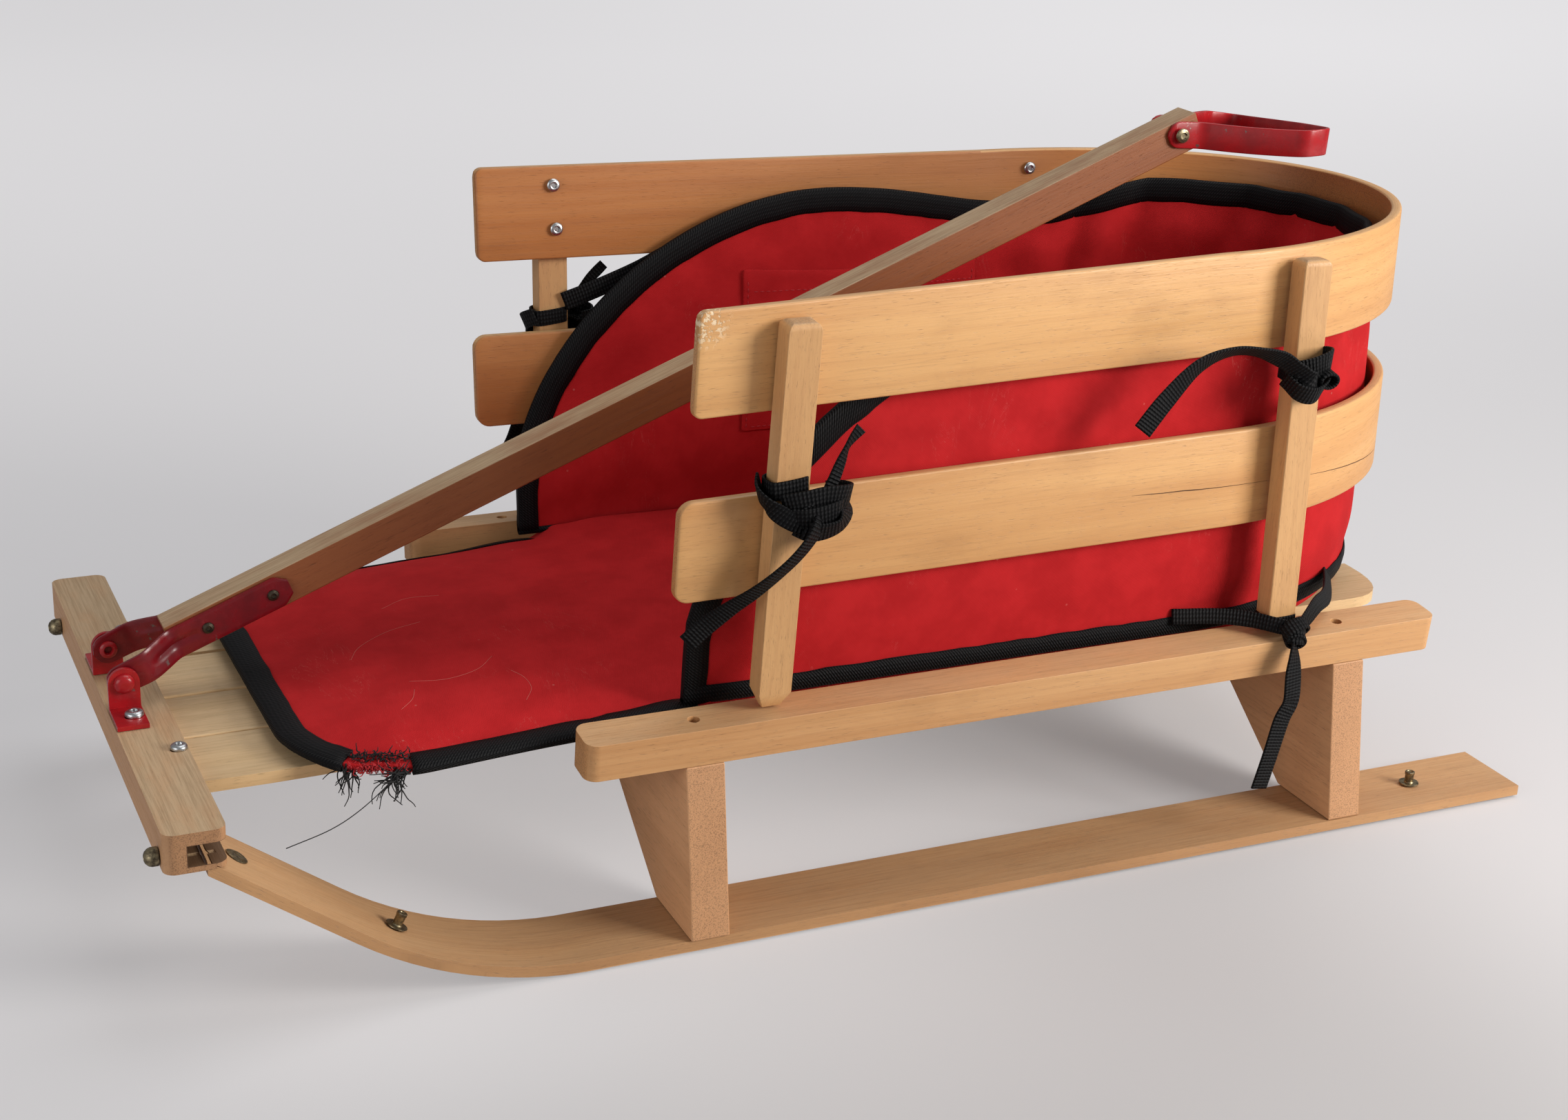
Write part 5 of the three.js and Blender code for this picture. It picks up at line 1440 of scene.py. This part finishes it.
def tow_strap(side, sign):
    """A pressed steel strap: flat along the bar, splayed to the pivot, with a pressed groove."""
    thick = 2.2
    outline = [(8.0, 20.3), (-4, 20.3), (-14, 20.2), (-22.5, 15.2), (-31, 9.9), (-42, 9.8), (-70, 9.8),
               (-97, 9.8)]
    line = spline([[x, y, 0] for x, y in outline], 1.6)
    rows = []
    steps = 17
    for p, t in zip(line, unit(np.gradient(line, axis=0))):
        x = p[0]
        if x > 0:
            half = math.sqrt(max(0.3, 64.0 - x * x))
        elif x > -20:
            half = 8.0 + 0.6 * (-x / 20)
        else:
            half = 8.6 - max(0.0, -91 - x) * 0.75
        normal = np.array([-t[1], t[0]]) * np.sign(t[0])
        rib = 1.3 * smooth((-16 - x) / 5) * smooth((x + 46) / 5)
        outer, inner = [], []
        for k in range(steps):
            h = -half + 2 * half * k / (steps - 1)
            sunk = rib * math.exp(-(h / 1.5) ** 2)
            edge = 0.35 if k in (0, steps - 1) else 0.0
            out, back = thick - sunk - edge, edge - sunk * 0.4
            outer.append([x + normal[0] * out, sign * (p[1] + normal[1] * out), h])
            inner.append([x + normal[0] * back, sign * (p[1] + normal[1] * back), h])
        rows.append(outer + inner[::-1])
    # The straps' darker enamel is painted shade.
    made = sweep(f"tow_strap_{side}_pressed", in_bar(rows), "tow_bar", STRAP_PAINT_SHADED, rows)
    sharpen(made, 50)
    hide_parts(f"tow_strap_{side}")


for side, sign in (("left", 1), ("right", -1)):
    tow_strap(side, sign)


def fillet(points, radius, count=8):
    """A polyline with its corners rounded."""
    points = [np.array(p, float) for p in points]
    out = [points[0]]
    for a, b, c in zip(points[:-2], points[1:-1], points[2:]):
        to_a, to_c = (a - b) / np.linalg.norm(a - b), (c - b) / np.linalg.norm(c - b)
        half = math.acos(max(-1, min(1, to_a @ to_c))) / 2
        cut = min(radius / math.tan(half), np.linalg.norm(a - b) * 0.45, np.linalg.norm(c - b) * 0.45)
        start, end = b + to_a * cut, b + to_c * cut
        for i in range(count + 1):
            t = i / count
            out.append((1 - t) ** 2 * start + 2 * t * (1 - t) * b + t * t * end)
    return np.array(out + [points[-1]])


def grip_loop():
    """The grip: one steel strip bent into a loop, with rounded arm ends, twisted by use."""
    thick, half = 2.0, 7.8
    inner = 11.7
    corner_y, end_x = 53.5, -82.0
    points = [(7.7, inner), (-14, inner), (-60, corner_y - 1.5), (end_x + 3, corner_y - 4), (end_x, 0)]
    left = fillet(points[:-1] + [(end_x - 0.6, 16)], 11)
    left = np.vstack([left, [[end_x - 0.8, 8], [end_x - 0.8, 0.01]]])
    line = np.vstack([left, left[::-1] * [1, -1]])
    line = resample(line, 2.2)
    along = unit(np.gradient(line, axis=0))
    outward = np.stack([-along[:, 1], along[:, 0]], -1)
    c, s = math.cos(GRIP_ANGLE), math.sin(GRIP_ANGLE)
    section = rounded_section(half, thick / 2, 0.7)
    rows, grain = [], []
    run = 0
    for i in range(len(line)):
        x, y = line[i]
        size = 1.0
        if x > 0:
            size = math.sqrt(max(0.02, half ** 2 - x * x)) / half
        reach = max(0.0, -x - 14) / 84
        row = []
        for a, b in section:
            px = x + outward[i, 0] * (b + thick / 2)
            py = y + outward[i, 1] * (b + thick / 2)
            pz = a * size + 0.13 * py * reach
            row.append([grip_pivot[0] + px * c + pz * s, py, grip_pivot[2] - px * s + pz * c])
        rows.append(row)
        run += 2.2
        grain.append([(run, a, b) for a, b in section])
    made = sweep("grip_loop_strip", rows, "grip", PAINT, grain)
    sharpen(made, 60)
    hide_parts("grip_loop")


grip_loop()

# ---------------------------------------------------------------- floor, light and camera


def floor():
    """A wide sheet of pale paper."""
    mesh = bpy.data.meshes.new("floor")
    mesh.from_pydata([(-14, -14, 0), (14, -14, 0), (14, 14, 0), (-14, 14, 0)], [], [(0, 1, 2, 3)])
    obj = bpy.data.objects.new("floor", mesh)
    bpy.context.scene.collection.objects.link(obj)
    s = Shader("floor_paper")
    cloud = s.noise(s.position(), 1.3, 3, 0.5)
    # The photo's paper grows lighter away from the camera; this light is seen and lights nothing.
    under = s.node("ShaderNodeVectorMath", {0: s.position(), 1: (0.17, 0.04, 0)}, operation="DISTANCE")
    spot = s.node("ShaderNodeSeparateXYZ", {0: s.position()})
    # Painted light: under_glow lifts the paper's shadow under the sleigh, and right_glow lightens the far
    # right of the paper.
    under_glow = s.fit(under.outputs["Value"], 0.42, 0.08, 0.0, 0.20)
    far_glow = s.fit(spot.outputs["Y"], 0.9, -2.5, 0.12, 0.50)
    far_right = s.math("MULTIPLY", spot.outputs["X"], s.fit(spot.outputs["Y"], 0.0, -1.2))
    right_glow = s.fit(far_right, 0.0, -2.2, 0.0, 0.12)
    glow = s.math("ADD", under_glow, s.math("ADD", far_glow, right_glow))
    glow = s.math("MULTIPLY", glow, s.node("ShaderNodeLightPath").outputs["Is Camera Ray"])
    s.put(s.bsdf.inputs["Emission Color"], (1.0, 0.985, 1.0, 1))
    s.put(s.bsdf.inputs["Emission Strength"], glow)
    paper = s.mix(cloud, (0.46, 0.45, 0.46), (0.49, 0.48, 0.49))
    # Painted shade: a darker patch on the paper beside the sleigh's near side, towards the camera.
    paper = s.mix(s.math("MULTIPLY", s.near((0.06, 0.42, 0), 0.5), 0.75), paper, (0.31, 0.30, 0.30))
    mesh.materials.append(s.finish(color=paper, rough=0.6, specular=0.2))


floor()


def area(name, where, target, size, power, color=(1, 1, 1)):
    """A rectangular lamp aimed at a place."""
    data = bpy.data.lights.new(name, "AREA")
    data.shape = "RECTANGLE"
    data.size, data.size_y = size
    data.energy = power
    data.color = color
    obj = bpy.data.objects.new(name, data)
    obj.location = where
    obj.rotation_euler = (Vector(target) - Vector(where)).to_track_quat("-Z", "Y").to_euler()
    bpy.context.scene.collection.objects.link(obj)


area("key", (-1.2, 1.2, 0.80), (-0.05, 0.0, 0.2), (0.8, 0.7), 33, (1.0, 0.975, 0.93))
area("top", (-0.6, -0.2, 2.1), (0, 0, 0.1), (1.6, 1.6), 17)
area("fill", (1.8, 0.8, 0.7), (0, 0, 0.12), (1.4, 1.0), 10)

world = bpy.data.worlds.new("studio")
world.use_nodes = True
world.node_tree.nodes["Background"].inputs[0].default_value = (0.88, 0.885, 0.90, 1)
world.node_tree.nodes["Background"].inputs[1].default_value = 0.3
bpy.context.scene.world = world
bpy.context.scene.view_settings.view_transform = "Standard"
bpy.context.scene.view_settings.look = "None"


def camera():
    """The camera: 0.56 m ahead of and 1.2 m to the left of the sleigh's middle, looking down on it."""
    yaw, pitch, roll = -0.43290, 0.34856, 0.03748
    level = Vector((math.sin(yaw), -math.cos(yaw), 0))
    sideways = Vector((-math.cos(yaw), -math.sin(yaw), 0))
    up_axis = Vector((0, 0, 1))
    forward = level * math.cos(pitch) - up_axis * math.sin(pitch)
    upward = up_axis * math.cos(pitch) + level * math.sin(pitch)
    right = sideways * math.cos(roll) + upward * math.sin(roll)
    top = upward * math.cos(roll) - sideways * math.sin(roll)
    data = bpy.data.cameras.new("camera")
    data.sensor_width = 36.0
    data.lens = 56.04
    data.shift_x = -0.00155
    data.shift_y = -0.02668
    obj = bpy.data.objects.new("camera", data)
    where = Vector((0.5573, 1.1956, 0.6406))
    obj.matrix_world = Matrix((
        (right.x, top.x, -forward.x, where.x), (right.y, top.y, -forward.y, where.y),
        (right.z, top.z, -forward.z, where.z), (0, 0, 0, 1)))
    bpy.context.scene.collection.objects.link(obj)
    bpy.context.scene.camera = obj


camera()
